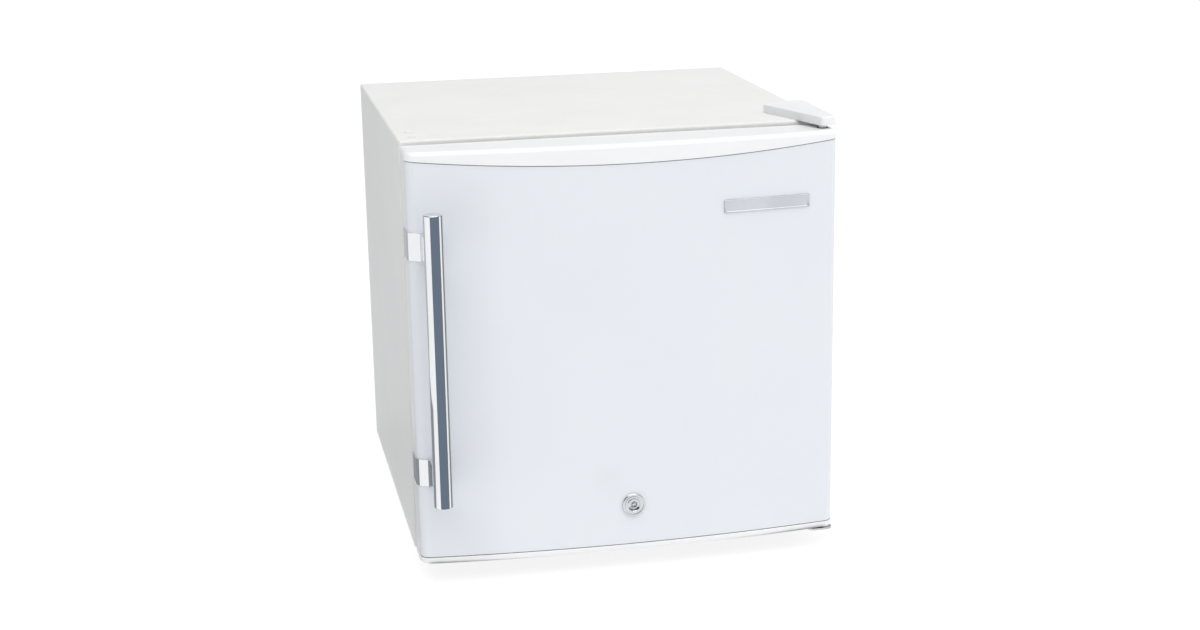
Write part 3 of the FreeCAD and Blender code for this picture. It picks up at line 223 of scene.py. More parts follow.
@dataclass(frozen=True)
class Finish:
    """One finish: its colours, gloss and relief, with sizes and heights in millimetres."""

    name: str
    slot: str
    colour: Rgb
    shade: Rgb
    roughness: float
    spread: float
    grain: Grain
    grain_size: float
    grain_height: float
    metallic: float = 0.0
    coat: float = 0.0
    clear: float = 0.0
    cloud_size: float = 60.0
    stretch: Rgb = (1.0, 1.0, 1.0)
    dust: float = 0.0

    def material(self) -> bpy.types.Material:
        """The finish as a material, made once.

        Returns:
            The material.
        """
        found = bpy.data.materials.get("finish_" + self.name)
        if found:
            return found
        graph = Graph("finish_" + self.name)
        where = graph.place()
        cloud = graph.noise(where, self.cloud_size)
        fine = graph.noise(where, self.grain_size * FINE_SIZE, FINE_LAYERS)
        share = cloud.ramp(*CLOUD_STEP) * CLOUD_SHARE + fine.ramp(*FINE_STEP) * FINE_SHARE
        relief = self.relief(graph)
        colour = graph.blend(self.colour, self.shade, share)
        rough = self.roughness + (fine - 0.5) * self.spread
        if self.grain is Grain.SPANGLE:
            crystal = graph.node("ShaderNodeTexVoronoi", {},
                                 {"Vector": where, "Scale": 1 / (self.grain_size * MM)}, 1)
            facet = graph.node("ShaderNodeSeparateColor", {}, {0: crystal}, 0)
            colour = graph.blend(self.colour, self.shade, facet)
            rough = self.roughness + (facet - 0.5) * self.spread * 2
        if self.dust:
            up = graph.part(graph.node("ShaderNodeNewGeometry", output="Normal"), 2)
            patch = graph.noise(where, DUST_SIZE, DUST_LAYERS).ramp(*DUST_PATCH)
            settled = up.ramp(*DUST_SLOPE) * patch * self.dust
            colour = graph.blend(colour, DUST_COLOUR, settled)
            rough = rough + settled * DUST_ROUGHNESS
        bump = graph.node("ShaderNodeBump", {}, {"Height": relief, "Strength": 1.0,
                                                 "Distance": self.grain_height * MM})
        graph.dress({"Base Color": colour, "Roughness": rough, "Metallic": self.metallic,
                     "Coat Weight": self.coat, "Transmission Weight": self.clear, "Normal": bump})
        return graph.material

    def relief(self, graph: Graph) -> Signal:
        """The height pattern of the fine relief.

        Args:
            graph: the material's graph.

        Returns:
            The height, from 0 to 1.
        """
        if self.grain is Grain.PEBBLE:
            where = graph.place()
            cells = graph.node("ShaderNodeTexVoronoi", {"feature": "SMOOTH_F1"},
                               {"Vector": where, "Scale": 1 / (self.grain_size * MM),
                                "Smoothness": 0.6})
            return cells * 0.7 + graph.noise(where, self.grain_size * 2) * 0.5
        if self.grain is Grain.BRUSHED:
            return graph.noise(graph.place(self.stretch), self.grain_size, 2.0)
        if self.grain is Grain.POLISHED:
            return graph.noise(graph.place(), self.grain_size * 10, 1.0)
        return graph.noise(graph.place(), self.grain_size, 2.0)


WHITE_STEEL = Finish("cabinet_enamel", "white_steel", (0.835, 0.835, 0.83), (0.81, 0.81, 0.80),
                     0.42, 0.10, Grain.PEEL, 1.4, 0.02, cloud_size=90, dust=0.02)
DOOR_ENAMEL = Finish("door_enamel", "white_steel", (0.785, 0.82, 0.865), (0.77, 0.805, 0.855),
                     0.36, 0.06, Grain.PEEL, 2.2, 0.006, coat=0.05, cloud_size=160)
CAP_PLASTIC = Finish("cap_plastic", "white_plastic", (0.885, 0.89, 0.90), (0.87, 0.875, 0.885),
                     0.3, 0.08, Grain.PEBBLE, 0.9, 0.004, coat=0.1, cloud_size=70)
INNER_PLASTIC = Finish("inner_plastic", "liner_plastic", (0.84, 0.85, 0.85), (0.80, 0.81, 0.81),
                       0.38, 0.08, Grain.PEBBLE, 0.8, 0.006, cloud_size=110)
WHITE_MOULDING = Finish("white_moulding", "white_plastic", (0.86, 0.86, 0.85), (0.82, 0.82, 0.80),
                        0.34, 0.08, Grain.PEBBLE, 0.8, 0.006, cloud_size=50)
CLEAR_PLASTIC = Finish("clear_plastic", "clear_plastic", (0.95, 0.98, 0.985), (0.93, 0.965, 0.975),
                       0.1, 0.05, Grain.POLISHED, 2.0, 0.01, clear=0.9)
SEAL_RUBBER = Finish("seal_rubber", "seal_rubber", (0.72, 0.72, 0.70), (0.66, 0.66, 0.64),
                     0.55, 0.1, Grain.PEBBLE, 0.6, 0.01)
# A deep grey strip in the caps' seams: painted shade standing in for the shadow in the gap.
PAINTED_SEAM_SHADE = Finish("painted_seam_shade", "seal_rubber", (0.20, 0.21, 0.22), (0.15, 0.16, 0.17),
                     0.6, 0.1, Grain.PEBBLE, 0.6, 0.01)
BLACK_RUBBER = Finish("black_rubber", "black_rubber", (0.025, 0.025, 0.027), (0.05, 0.05, 0.05),
                      0.62, 0.15, Grain.PEBBLE, 0.8, 0.02, dust=0.15)
BLACK_PLASTIC = Finish("black_plastic", "black_plastic", (0.03, 0.03, 0.033), (0.045, 0.045, 0.05),
                       0.42, 0.12, Grain.PEBBLE, 0.8, 0.012, dust=0.1)
BLACK_PAINT = Finish("black_paint", "black_paint", (0.022, 0.022, 0.024), (0.04, 0.038, 0.036),
                     0.36, 0.16, Grain.PEEL, 1.6, 0.03, coat=0.15, dust=0.3)
CHROME = Finish("chrome", "chrome", (0.80, 0.81, 0.83), (0.77, 0.78, 0.80),
                0.06, 0.03, Grain.POLISHED, 2.0, 0.0012, metallic=1.0)
LOCK_CHROME = Finish("lock_chrome", "chrome", (0.64, 0.66, 0.68), (0.58, 0.60, 0.62),
                     0.14, 0.05, Grain.POLISHED, 0.8, 0.004, metallic=1.0)
ZINC = Finish("zinc_plate", "zinc_steel", (0.62, 0.63, 0.62), (0.52, 0.53, 0.52),
              0.32, 0.14, Grain.BRUSHED, 0.6, 0.006, metallic=1.0, stretch=(1.0, 0.12, 1.0))
GALVANISED = Finish("galvanised", "galvanised_steel", (0.60, 0.62, 0.63), (0.46, 0.48, 0.49),
                    0.42, 0.12, Grain.SPANGLE, 9.0, 0.004, metallic=1.0, dust=0.1)
ALUMINIUM = Finish("evaporator_sheet", "evaporator_aluminium",
                   (0.80, 0.81, 0.82), (0.72, 0.73, 0.75), 0.34, 0.12, Grain.BRUSHED, 0.8, 0.01,
                   metallic=1.0, stretch=(0.08, 1.0, 1.0))
COPPER = Finish("copper_tube", "copper_tube", (0.72, 0.36, 0.22), (0.50, 0.23, 0.14),
                0.3, 0.2, Grain.POLISHED, 1.0, 0.01, metallic=1.0)
WHITE_WIRE = Finish("coated_wire", "white_wire", (0.86, 0.87, 0.87), (0.80, 0.81, 0.81),
                    0.28, 0.08, Grain.PEEL, 1.0, 0.02, coat=0.3)
SILVER = Finish("silver_badge", "silver_badge", (0.62, 0.64, 0.68), (0.55, 0.57, 0.61),
                0.30, 0.08, Grain.BRUSHED, 0.35, 0.004, metallic=1.0, stretch=(0.05, 1.0, 1.0))
FOAM = Finish("foam", "foam", (0.78, 0.70, 0.48), (0.70, 0.60, 0.38),
              0.9, 0.1, Grain.PEBBLE, 1.4, 0.15)
FINISHES = {finish.slot: finish for finish in (
    WHITE_STEEL, GALVANISED, WHITE_MOULDING, INNER_PLASTIC, CLEAR_PLASTIC, FOAM, SEAL_RUBBER,
    BLACK_RUBBER, BLACK_PLASTIC, CHROME, ZINC, BLACK_PAINT, ALUMINIUM, COPPER, WHITE_WIRE, SILVER)}


# ---- surfaces
@dataclass
class Surface:
    """Points, four-sided faces and end caps of one surface, in millimetres."""

    points: np.ndarray
    quads: np.ndarray
    caps: list[np.ndarray] = field(default_factory=list)

    def volume(self) -> float:
        """Signed volume: a sixth of the sum of each fan triangle's triple product.

        Returns:
            The volume, below 0 when the faces point inwards.
        """
        total = 0.0
        for group in [self.quads, *(cap[None] for cap in self.caps)]:
            corners = self.points[group]
            total += float((corners[:, :1] * np.cross(corners[:, 1:-1], corners[:, 2:])).sum()) / 6
        return total

    def outward(self) -> "Surface":
        """The same closed surface with its faces turned outwards.

        Returns:
            The surface.
        """
        if self.volume() >= 0:
            return self
        return Surface(self.points, self.quads[:, ::-1], [cap[::-1] for cap in self.caps])

    def joined(self, other: "Surface") -> "Surface":
        """This surface and another as one.

        Args:
            other: the surface to add.

        Returns:
            Both together.
        """
        shift = len(self.points)
        return Surface(np.vstack([self.points, other.points]),
                       np.vstack([self.quads, other.quads + shift]),
                       self.caps + [cap + shift for cap in other.caps])

    def mesh(self, name: str) -> bpy.types.Mesh:
        """The surface as a mesh in metres.

        Args:
            name: the mesh's name.

        Returns:
            The mesh.
        """
        made = bpy.data.meshes.new(name)
        faces = self.quads.tolist() + [cap.tolist() for cap in self.caps]
        made.from_pydata((self.points * MM).tolist(), [], faces)
        return made


def grid_quads(rows: int, columns: int, looped_rows: bool, looped_columns: bool) -> np.ndarray:
    """The four-sided faces of a grid: a cell joins (r, c), (r, c+1), (r+1, c+1) and (r+1, c).

    Args:
        rows: the grid's rows.
        columns: the grid's columns.
        looped_rows: True when the last row joins the first.
        looped_columns: True when the last column joins the first.

    Returns:
        Point numbers, four to a face.
    """
    row = np.arange(rows if looped_rows else rows - 1)[:, None]
    column = np.arange(columns if looped_columns else columns - 1)[None, :]
    below, beside = (row + 1) % rows, (column + 1) % columns
    return np.stack([row * columns + column, row * columns + beside,
                     below * columns + beside, below * columns + column], -1).reshape(-1, 4)


def loft(rings: np.ndarray, looped: bool = False) -> Surface:
    """A skin over closed rings of equal count, capped at both ends or looped back to the first.

    Args:
        rings: an array of rings, points and coordinates.
        looped: True when the last ring joins the first and there are no caps.

    Returns:
        The closed surface.
    """
    count, around = rings.shape[:2]
    first = np.arange(around)
    caps = [] if looped else [first[::-1], first + (count - 1) * around]
    return Surface(rings.reshape(-1, 3), grid_quads(count, around, looped, True), caps).outward()


def sheet(grid: np.ndarray) -> Surface:
    """An open sheet over a grid of points, given as rows, columns and coordinates."""
    rows, columns = grid.shape[:2]
    return Surface(grid.reshape(-1, 3), grid_quads(rows, columns, False, False))


def full_turn(count: int) -> np.ndarray:
    """Angles at even steps once round a circle."""
    return np.linspace(0, 2 * math.pi, count, endpoint=False)


def arc_radius(half: float, rise: float) -> float:
    """The radius of the arc that rises by so much over half its chord."""
    return (half ** 2 + rise ** 2) / (2 * rise)


def turned(profile: np.ndarray, centre: Sequence[float], axis: Sequence[float], around: int = 64,
           flutes: int = 0, flute_depth: float = 0.0) -> Surface:
    """A turned piece: each profile point (radius, height) goes round the axis.

    A point is centre + height * axis + radius * (cos t * u + sin t * v), and flutes make the radius
    rise and fall with cos(flutes * t).

    Args:
        profile: radius and height pairs from one end to the other.
        centre: the foot of the axis.
        axis: the unit axis.
        around: points round the circle.
        flutes: how many flutes the rim has.
        flute_depth: how deep a flute is.

    Returns:
        The closed surface.
    """
    line = Vector(axis)
    side = line.orthogonal().normalized()
    other = np.array(line.cross(side))
    turn = full_turn(around)
    wave = flute_depth * (0.5 + 0.5 * np.cos(flutes * turn))[None, :]
    radius = profile[:, :1] - wave * (profile[:, :1] > 1)
    spokes = np.cos(turn)[:, None] * np.array(side) + np.sin(turn)[:, None] * other
    foot = np.array(centre) + profile[:, 1][:, None, None] * np.array(line)
    return loft(foot + radius[:, :, None] * spokes)


def band(value: np.ndarray, low: float, high: float, soft: float) -> np.ndarray:
    """1 between two limits and 0 outside them, with smooth steps: 3 t squared less 2 t cubed.

    Args:
        value: the values.
        low: the lower limit.
        high: the upper limit.
        soft: the width of each step.

    Returns:
        The share at each value.
    """
    rise = np.clip((value - low) / soft, 0, 1)
    fall = np.clip((high - value) / soft, 0, 1)
    share = np.minimum(rise, fall)
    return share * share * (3 - 2 * share)


def rounded_end(radius: float, height: float, edge: float, steps: int = 5) -> np.ndarray:
    """A profile that climbs a wall, turns in over a rounded edge and stops just inside it.

    Args:
        radius: the wall's radius.
        height: the end's height.
        edge: the rounding, positive for an end above the wall.
        steps: steps round the edge.

    Returns:
        Radius and height pairs.
    """
    turn = np.linspace(0, math.pi / 2, steps)
    size = abs(edge)
    arc = np.stack([radius - size + size * np.cos(turn), height - edge + edge * np.sin(turn)], -1)
    return np.vstack([arc, [radius - size * 1.5, height]])


def rounded_outline(corners: np.ndarray, radii: Sequence[float], steps: int = 6) -> np.ndarray:
    """A polygon with each corner turned as an arc tangent to its two edges.

    Args:
        corners: the polygon's corners, anticlockwise.
        radii: the radius at each corner.
        steps: points on each arc.

    Returns:
        The rounded outline, with the same count of points whatever the radii.
    """
    before, after = np.roll(corners, 1, 0), np.roll(corners, -1, 0)
    into = (corners - before) / np.linalg.norm(corners - before, axis=1)[:, None]
    away = (after - corners) / np.linalg.norm(after - corners, axis=1)[:, None]
    turn = np.arctan2(into[:, 0] * away[:, 1] - into[:, 1] * away[:, 0], (into * away).sum(1))
    size = np.asarray(radii, float)
    start = corners - into * (size * np.tan(np.abs(turn) / 2))[:, None]
    left = np.stack([-into[:, 1], into[:, 0]], -1) * np.sign(turn)[:, None]
    share = np.linspace(0, 1, steps)[None, :, None]
    angle = share * np.abs(turn)[:, None, None]
    swept = np.sin(angle) * into[:, None] + (1 - np.cos(angle)) * left[:, None]
    return (start[:, None] + size[:, None, None] * swept).reshape(-1, 2)


def inset_polygon(corners: np.ndarray, inset: float) -> np.ndarray:
    """An anticlockwise polygon with every edge moved inwards.

    Args:
        corners: the corners.
        inset: how far the edges move.

    Returns:
        The moved corners.
    """
    into = corners - np.roll(corners, 1, 0)
    into = into / np.linalg.norm(into, axis=1)[:, None]
    first = np.stack([-into[:, 1], into[:, 0]], -1)
    second = np.roll(first, -1, 0)
    share = inset / (1 + (first * second).sum(1))
    return corners + (first + second) * share[:, None]


def brick(low: Sequence[float], high: Sequence[float]) -> Surface:
    """A plain block between two corners, used only as one part of a larger surface.

    Args:
        low: the lowest corner.
        high: the highest corner.

    Returns:
        The closed surface.
    """
    (x0, y0, z0), (x1, y1, z1) = low, high
    ring = np.array([[x0, y0], [x1, y0], [x1, y1], [x0, y1]])
    return loft(np.stack([np.column_stack([ring, np.full(4, z)]) for z in (z0, z1)]))


def tube(path: np.ndarray, wide: float, tall: float, up: Sequence[float],
         around: int = 12) -> Surface:
    """An oval tube along a path: its ring lies across the path, wide sideways and tall upwards.

    Args:
        path: the path's points.
        wide: half its width.
        tall: half its height.
        up: the direction of its height.
        around: points round the ring.

    Returns:
        The closed surface.
    """
    ahead = np.gradient(path, axis=0)
    ahead = ahead / np.linalg.norm(ahead, axis=1)[:, None]
    lift = np.array(up, float)
    across = np.cross(ahead, lift)
    across = across / np.linalg.norm(across, axis=1)[:, None]
    turn = full_turn(around)
    rings = (path[:, None] + np.cos(turn)[None, :, None] * across[:, None] * wide
             + np.sin(turn)[None, :, None] * lift * tall)
    return loft(rings)


def lowest(node: str) -> np.ndarray:
    """A node's lowest corner in millimetres."""
    return np.array(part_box(node)[0]) / MM


def highest(node: str) -> np.ndarray:
    """A node's highest corner in millimetres."""
    return np.array(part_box(node)[1]) / MM


def middle(node: str) -> np.ndarray:
    """The middle of a node's box in millimetres."""
    return (lowest(node) + highest(node)) / 2


def put(name: str, data: Any) -> bpy.types.Object:
    """Puts a new object into the scene.

    Args:
        name: its name.
        data: its mesh, lamp or camera.

    Returns:
        The object.
    """
    thing = bpy.data.objects.new(name, data)
    bpy.context.scene.collection.objects.link(thing)
    return thing


def add_piece(name: str, shape: Surface | bpy.types.Mesh, body: str, finish: Finish,
              replaced: Sequence[str] = (), bevel: float = 0.0, wall: float = 0.0,
              angle: float = CRISP_ANGLE) -> bpy.types.Object:
    """Makes an object of a shape, shades and dresses it, and hangs it on a body.

    Args:
        name: the piece's name.
        shape: its surface in millimetres, or its mesh in metres.
        body: the body it moves with.
        finish: its finish.
        replaced: the nodes it stands for.
        bevel: the width of its softened edges.
        wall: the thickness given to an open sheet, towards its inside.
        angle: edges sharper than this stay crisp, or are softened where there is a bevel.

    Returns:
        The object.
    """
    mesh = shape.mesh(name) if isinstance(shape, Surface) else shape
    mesh.polygons.foreach_set("use_smooth", np.ones(len(mesh.polygons), bool))
    mesh.set_sharp_from_angle(angle=math.radians(angle))
    mesh.materials.append(finish.material())
    piece = put(name, mesh)
    if wall:
        made = piece.modifiers.new("wall", "SOLIDIFY")
        made.thickness = wall * MM
        made.offset = -1
        made.use_even_offset = True
    if bevel:
        soft = piece.modifiers.new("soft_edges", "BEVEL")
        soft.width = bevel * MM
        soft.segments = 3
        soft.limit_method = "ANGLE"
        soft.angle_limit = math.radians(angle)
        soft.harden_normals = True
    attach(piece, body)
    if replaced:
        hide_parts(*replaced)
    log.info("%s: %d faces on %s", name, len(mesh.polygons), body)
    return piece


def clean_mesh(node: str, name: str) -> bpy.types.Mesh:
    """A copy of a node's mesh, merged and flattened to clean faces.

    Args:
        node: the node.
        name: the copy's name.

    Returns:
        The mesh.
    """
    source = frame["nodes"][node].data
    points = np.zeros(len(source.vertices) * 3, np.float32)
    source.vertices.foreach_get("co", points)
    corners = np.zeros(len(source.loops), np.int32)
    source.loops.foreach_get("vertex_index", corners)
    mesh = bpy.data.meshes.new(name)
    mesh.from_pydata(points.reshape(-1, 3).tolist(), [], corners.reshape(-1, 3).tolist())
    work = bmesh.new()
    work.from_mesh(mesh)
    bmesh.ops.remove_doubles(work, verts=work.verts, dist=MERGE_DISTANCE)
    bmesh.ops.dissolve_limit(work, angle_limit=math.radians(FLAT_ANGLE),
                             verts=work.verts, edges=work.edges)
    work.to_mesh(mesh)
    work.free()
    return mesh


def soften(widths: dict[str, float]) -> None:
    """Makes a clean copy of each node, in the finish of its slot, with softened edges.

    Args:
        widths: the width of the softened edges, for each node.
    """
    for node, width in widths.items():
        name = node + "_finished"
        body = frame["nodes"][node]["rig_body"]
        add_piece(name, clean_mesh(node, name), body, FINISHES[SLOTS[node]], [node], width)


# ---- cabinet
@dataclass
class Cabinet:
    """The folded wrap, the sill, the base and back sheets, and the plugs of the spare holes."""

    steel: float = 0.8
    corner: float = 3.0
    fold: float = 3.0
    front_hem: float = 33.0
    rear_hem: float = 14.0
    bottom_hem: float = 12.0
    arc_steps: int = 7

    def wrap(self) -> Surface:
        """The wrap as one sheet.

        Across, it runs up the left side, over the top and down the right one, round two corner arcs.
        In depth, it folds in at both ends: each step of a fold has an inset and a place.
        A corner's centre moves in by the larger of the corner's radius and the inset.

        Returns:
            The open outer sheet.
        """
        low, high = lowest("cabinet_wrap"), highest("cabinet_wrap")
        half, top, base = high[0], high[2], low[2]
        turn = np.linspace(0, math.pi / 2, self.arc_steps)
        arc = self.fold * (1 - np.cos(turn)), self.fold * (1 - np.sin(turn))
        inset = np.concatenate([[self.front_hem], arc[1], arc[1][::-1], [self.rear_hem]])
        depth = np.concatenate([[low[1]], low[1] + arc[0], high[1] - arc[0][::-1], [high[1]]])
        centre = np.maximum(self.corner, inset)
        radius = np.maximum(self.corner - inset, 0)
        sweep = np.linspace(math.pi, math.pi / 2, self.arc_steps)
        left_x = -half + centre[:, None] + radius[:, None] * np.cos(sweep)
        left_z = top - centre[:, None] + radius[:, None] * np.sin(sweep)
        foot = np.full((len(inset), 1), base)
        edge = (half - inset)[:, None]
        x = np.concatenate([-edge, left_x, -left_x[:, ::-1], edge], 1)
        z = np.concatenate([foot, left_z, left_z[:, ::-1], foot], 1)
        y = np.repeat(depth[:, None], x.shape[1], 1)
        return sheet(np.stack([x, y, z], -1))

    def hems(self) -> Surface:
        """The two strips folded in along the bottom of the sides.

        Returns:
            Both strips.
        """
        low, high = lowest("cabinet_wrap"), highest("cabinet_wrap")
        start, end = low[1] + self.steel, high[1] - self.steel
        over = low[2] + self.steel
        left = brick((low[0] + self.steel, start, low[2]), (low[0] + self.bottom_hem, end, over))
        right = brick((high[0] - self.bottom_hem, start, low[2]), (high[0] - self.steel, end, over))
        return left.joined(right)

    def build(self) -> None:
        """Makes the wrap and dresses the sheets around it."""
        add_piece("cabinet_wrap_sheet", self.wrap(), "cabinet", WHITE_STEEL, ["cabinet_wrap"],
                  wall=self.steel)
        add_piece("cabinet_bottom_hems", self.hems(), "cabinet", WHITE_STEEL)
        soften({"front_sill": 0.2, "base_panel": 0.3, "back_panel": 0.2, "compressor_plate": 0.3,
                "hinge_hole_plugs": 0.3, "inner_liner": 1.0})


# ---- hinges
@dataclass
class Hinges:
    """The moulded cover over the top hinge, and the plates and screws."""

    tip_inset: float = 53.0
    tip_back: float = 61.0
    nose_inset: float = 17.0
    nose_front: float = 41.0
    front: float = 41.5
    corner: float = 3.0
    back: float = 80.0
    back_width: float = 20.0
    wall: float = 1.8
    edge: float = 1.6
    edge_steps: int = 6
    least_radius: float = 0.4
    radii: tuple[float, ...] = (3.0, 5.0, 2.6, 2.6, 5.0, 7.0)

    def ring(self, inset: float, front_y: float, half: float) -> np.ndarray:
        """The cover's plan outline at an inset.

        Args:
            inset: how far the edges move in.
            front_y: the cabinet's front.
            half: half the cabinet's width.

        Returns:
            The rounded outline.
        """
        back_y, nose_y = front_y + self.back, front_y - self.front
        corners = np.array([
            (half - self.tip_inset, front_y + self.tip_back),
            (half - self.nose_inset, front_y - self.nose_front), (half - self.corner, nose_y),
            (half, nose_y + self.corner), (half, back_y), (half - self.back_width, back_y)])
        radii = np.maximum(np.array(self.radii) - inset, self.least_radius)
        return rounded_outline(inset_polygon(corners, inset), radii)

    def cover(self) -> Surface:
        """The cover: rings climb its wall, turn in over the top edge, and climb again inside it.

        Returns:
            The closed surface.
        """
        front_y, half = lowest("cabinet_wrap")[1], highest("cabinet_wrap")[0]
        low, high = highest("cabinet_wrap")[2], highest("hinge_cover")[2]
        turn = np.linspace(0, math.pi / 2, self.edge_steps)[1:]
        insets = [self.wall, self.wall, 0.0, 0.0,
                  *(self.edge * (1 - np.cos(turn))), self.edge * 1.6]
        heights = [high - self.wall, low, low, high - self.edge,
                   *(high - self.edge + self.edge * np.sin(turn)), high]
        outlines = [self.ring(inset, front_y, half) for inset in insets]
        return loft(np.stack([np.column_stack([outline, np.full(len(outline), height)])
                              for outline, height in zip(outlines, heights)]))

    def build(self) -> None:
        """Makes the cover and dresses the metal under it."""
        add_piece("hinge_cover_moulding", self.cover(), "cabinet", CAP_PLASTIC, ["hinge_cover"])
        soften({"upper_hinge_bracket": 0.4, "lower_hinge_bracket": 0.4,
                "upper_hinge_screws": 0.5, "lower_hinge_screws": 0.5})


# ---- door
@dataclass
class Door:
    """The bowed skin, its two caps, the side trims, the seal, the inner liner and the bins.

    The seal's section is pairs of a distance out from the opening and a depth.
    """

    side_inset: float = 1.2
    bow_rise: float = 14.5
    bow_corner: float = 11.0
    panel_edge: float = 28.0
    panel_skin: float = 0.8
    core_rear: float = 1.5
    proud: float = 0.9
    cap_edge: float = 5.5
    cap_wall: float = 2.4
    lip: float = 0.35
    tongue: float = 6.0
    top_cap_end: float = 9.0
    top_cap_middle: float = 21.0
    bottom_cap: float = 8.0
    seam: float = 0.9
    strip_thick: float = 0.9
    strip_over: float = 0.3
    trim_wall: float = 2.5
    trim_round: float = 0.4
    groove_place: float = 11.0
    groove_width: float = 2.0
    groove_depth: float = 0.6
    seal_width: float = 18.0
    seal_deep: float = 7.7
    seal_section: tuple[tuple[float, float], ...] = (
        (2.5, 0.0), (4.0, 1.6), (3.2, 3.0), (0.6, 3.6), (0.0, 5.6), (0.6, 7.7), (9.0, 7.25),
        (17.4, 7.7), (18.0, 5.8), (17.4, 4.0), (13.5, 3.4), (13.0, 2.2), (15.5, 1.4), (17.0, 0.4),
        (16.0, 0.0), (9.0, 0.0))
    bow_steps: int = 96
    arc_steps: int = 12
    rim_steps: int = 8
    groove_steps: int = 9
    half: float = field(init=False)
    front: float = field(init=False)
    rear: float = field(init=False)
    top: float = field(init=False)
    bottom: float = field(init=False)

    def __post_init__(self) -> None:
        """Takes the door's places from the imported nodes."""
        self.half = highest("cabinet_wrap")[0] - self.side_inset
        self.rear = highest("door_front_panel")[1] + self.panel_edge
        self.front = lowest("door_front_panel")[1]
        self.top = highest("door_top_cap")[2]
        self.bottom = lowest("door_bottom_cap")[2]

    def outline(self, inset: float, back: float) -> np.ndarray:
        """The door's plan at an inset: a straight side, a tight corner, the bow, and their mirror.

        The bow is a circle through the middle and both sides. A corner's arc touches it and a side.

        Args:
            inset: how far the outline is pulled in; negative stands proud.
            back: the Y where the sides end.

        Returns:
            The outline from the left back to the right back.
        """
        bow = arc_radius(self.half, self.bow_rise)
        centre_y = self.front + bow
        half, large, small = self.half - inset, bow - inset, max(self.bow_corner - inset, 0.5)
        corner_x = half - small
        corner_y = centre_y - math.sqrt((large - small) ** 2 - corner_x ** 2)
        lean = math.atan2(corner_x, centre_y - corner_y)
        turn = np.linspace(math.pi / 2, lean, self.arc_steps)
        corner = np.stack([-corner_x - small * np.sin(turn), corner_y - small * np.cos(turn)], -1)
        swing = np.linspace(-lean, lean, self.bow_steps)[1:-1]
        bowed = np.stack([large * np.sin(swing), centre_y - large * np.cos(swing)], -1)
        other = corner[::-1] * np.array([-1.0, 1.0])
        return np.vstack([[(-half, back)], corner, bowed, other, [(half, back)]])

    def seam_height(self, x: np.ndarray) -> np.ndarray:
        """The top cap's lower edge: an arc of a circle that dips in the middle of the door.

        Args:
            x: places across the door.

        Returns:
            The height of the edge at each place.
        """
        low = self.top - self.top_cap_middle
        rise = self.top_cap_middle - self.top_cap_end
        radius = arc_radius(self.half, rise)
        return low + radius - np.sqrt(radius ** 2 - np.minimum(np.abs(x), radius) ** 2)

    def panel(self) -> Surface:
        """The front skin: a thin upright loop with rounded ends, carried along the outline.

        Returns:
            The closed surface.
        """
        back = self.rear - self.panel_edge
        skin = self.panel_skin
        insets = [0.25 * skin, 0.0, 0.0, 0.25 * skin, skin, skin]
        outlines = np.stack([self.outline(inset, back) for inset in insets], 1)
        high = self.seam_height(outlines[:, 1, 0]) - self.seam
        low = np.full_like(high, self.bottom + self.bottom_cap + self.seam)
        lift = 0.25 * skin
        heights = np.stack([low, low + lift, high - lift, high, high, low], 1)
        return loft(np.concatenate([outlines, heights[:, :, None]], 2))

    def closed_ring(self, inset: float, height: Any) -> np.ndarray:
        """The outline closed along the door's core, at one height or at a height for each point."""
        ring = self.outline(inset, self.rear - self.core_rear)
        return np.column_stack([ring, np.broadcast_to(height, len(ring))])

    def cap(self, top: bool) -> Surface:
        """An end cap: rings climb from the seam to the rounded rim, and an inner wall closes it.

        Args:
            top: True for the top cap, False for the bottom one.

        Returns:
            The closed surface.
        """
        inner, proud, behind = self.cap_wall, self.proud, self.panel_skin * 0.7
        turn = np.linspace(0, math.pi / 2, self.rim_steps)
        across = self.outline(0.0, self.rear)[:, 0]
        if top:
            end, sign, seam = self.top, 1.0, self.seam_height(across)
        else:
            end, sign, seam = self.bottom, -1.0, np.full(len(across), self.bottom + self.bottom_cap)
        foot = seam - sign * self.tongue
        insets = [inner, inner, behind, behind, -proud + self.lip, -proud,
                  *(-proud + self.cap_edge * (1 - np.cos(turn))), self.cap_edge]
        heights = [end - sign * inner, foot, foot, seam, seam, seam + sign * self.lip,
                   *(end - sign * self.cap_edge * (1 - np.sin(turn))), end]
        return loft(np.stack([self.closed_ring(*pair) for pair in zip(insets, heights)]))

    def painted_seam_shade(self, top: bool) -> Surface:
        """A deep grey strip sunk in a cap's seam, painted shade standing in for the gap's shadow: a
        small upright loop, carried along the outline.

        Args:
            top: True for the top cap's seam, False for the bottom one's.

        Returns:
            The closed surface.
        """
        sink, over = self.panel_skin * 0.55, self.strip_over
        deep = sink + self.strip_thick
        outlines = np.stack([self.outline(inset, self.rear - self.panel_edge)
                             for inset in (sink, sink, deep, deep)], 1)
        if top:
            high = self.seam_height(outlines[:, 1, 0]) + over
            low = high - over - self.seam - over
        else:
            low = np.full(len(outlines), self.bottom + self.bottom_cap - over)
            high = low + over + self.seam + over
        return loft(np.concatenate([outlines, np.stack([low, high, high, low], 1)[:, :, None]], 2))

    def trim(self, side: int) -> Surface:
        """A side trim: its section, with a round-bottomed groove, carried up the door's side.

        Args:
            side: -1 for the left one, 1 for the right one.

        Returns:
            The closed surface.
        """
        start, end = self.rear - self.panel_edge, self.rear - self.core_rear
        groove = end - self.groove_place - self.groove_width / 2
        turn = np.linspace(0, math.pi, self.groove_steps)
        across = groove - self.groove_width / 2 * np.cos(turn)
        depth = self.groove_depth * np.sin(turn)
        y = np.concatenate([[start, start + self.trim_round], across,
                            [end - self.trim_round, end, end, start]])
        x = np.concatenate([[self.lip, 0.0], depth,
                            [0.0, self.lip, self.trim_wall, self.trim_wall]])
        low = self.bottom + self.bottom_cap
        high = self.top - self.top_cap_end - self.seam
        ring = np.column_stack([side * (self.half - x), y])
        return loft(np.stack([np.column_stack([ring, np.full(len(ring), z)]) for z in (low, high)]))

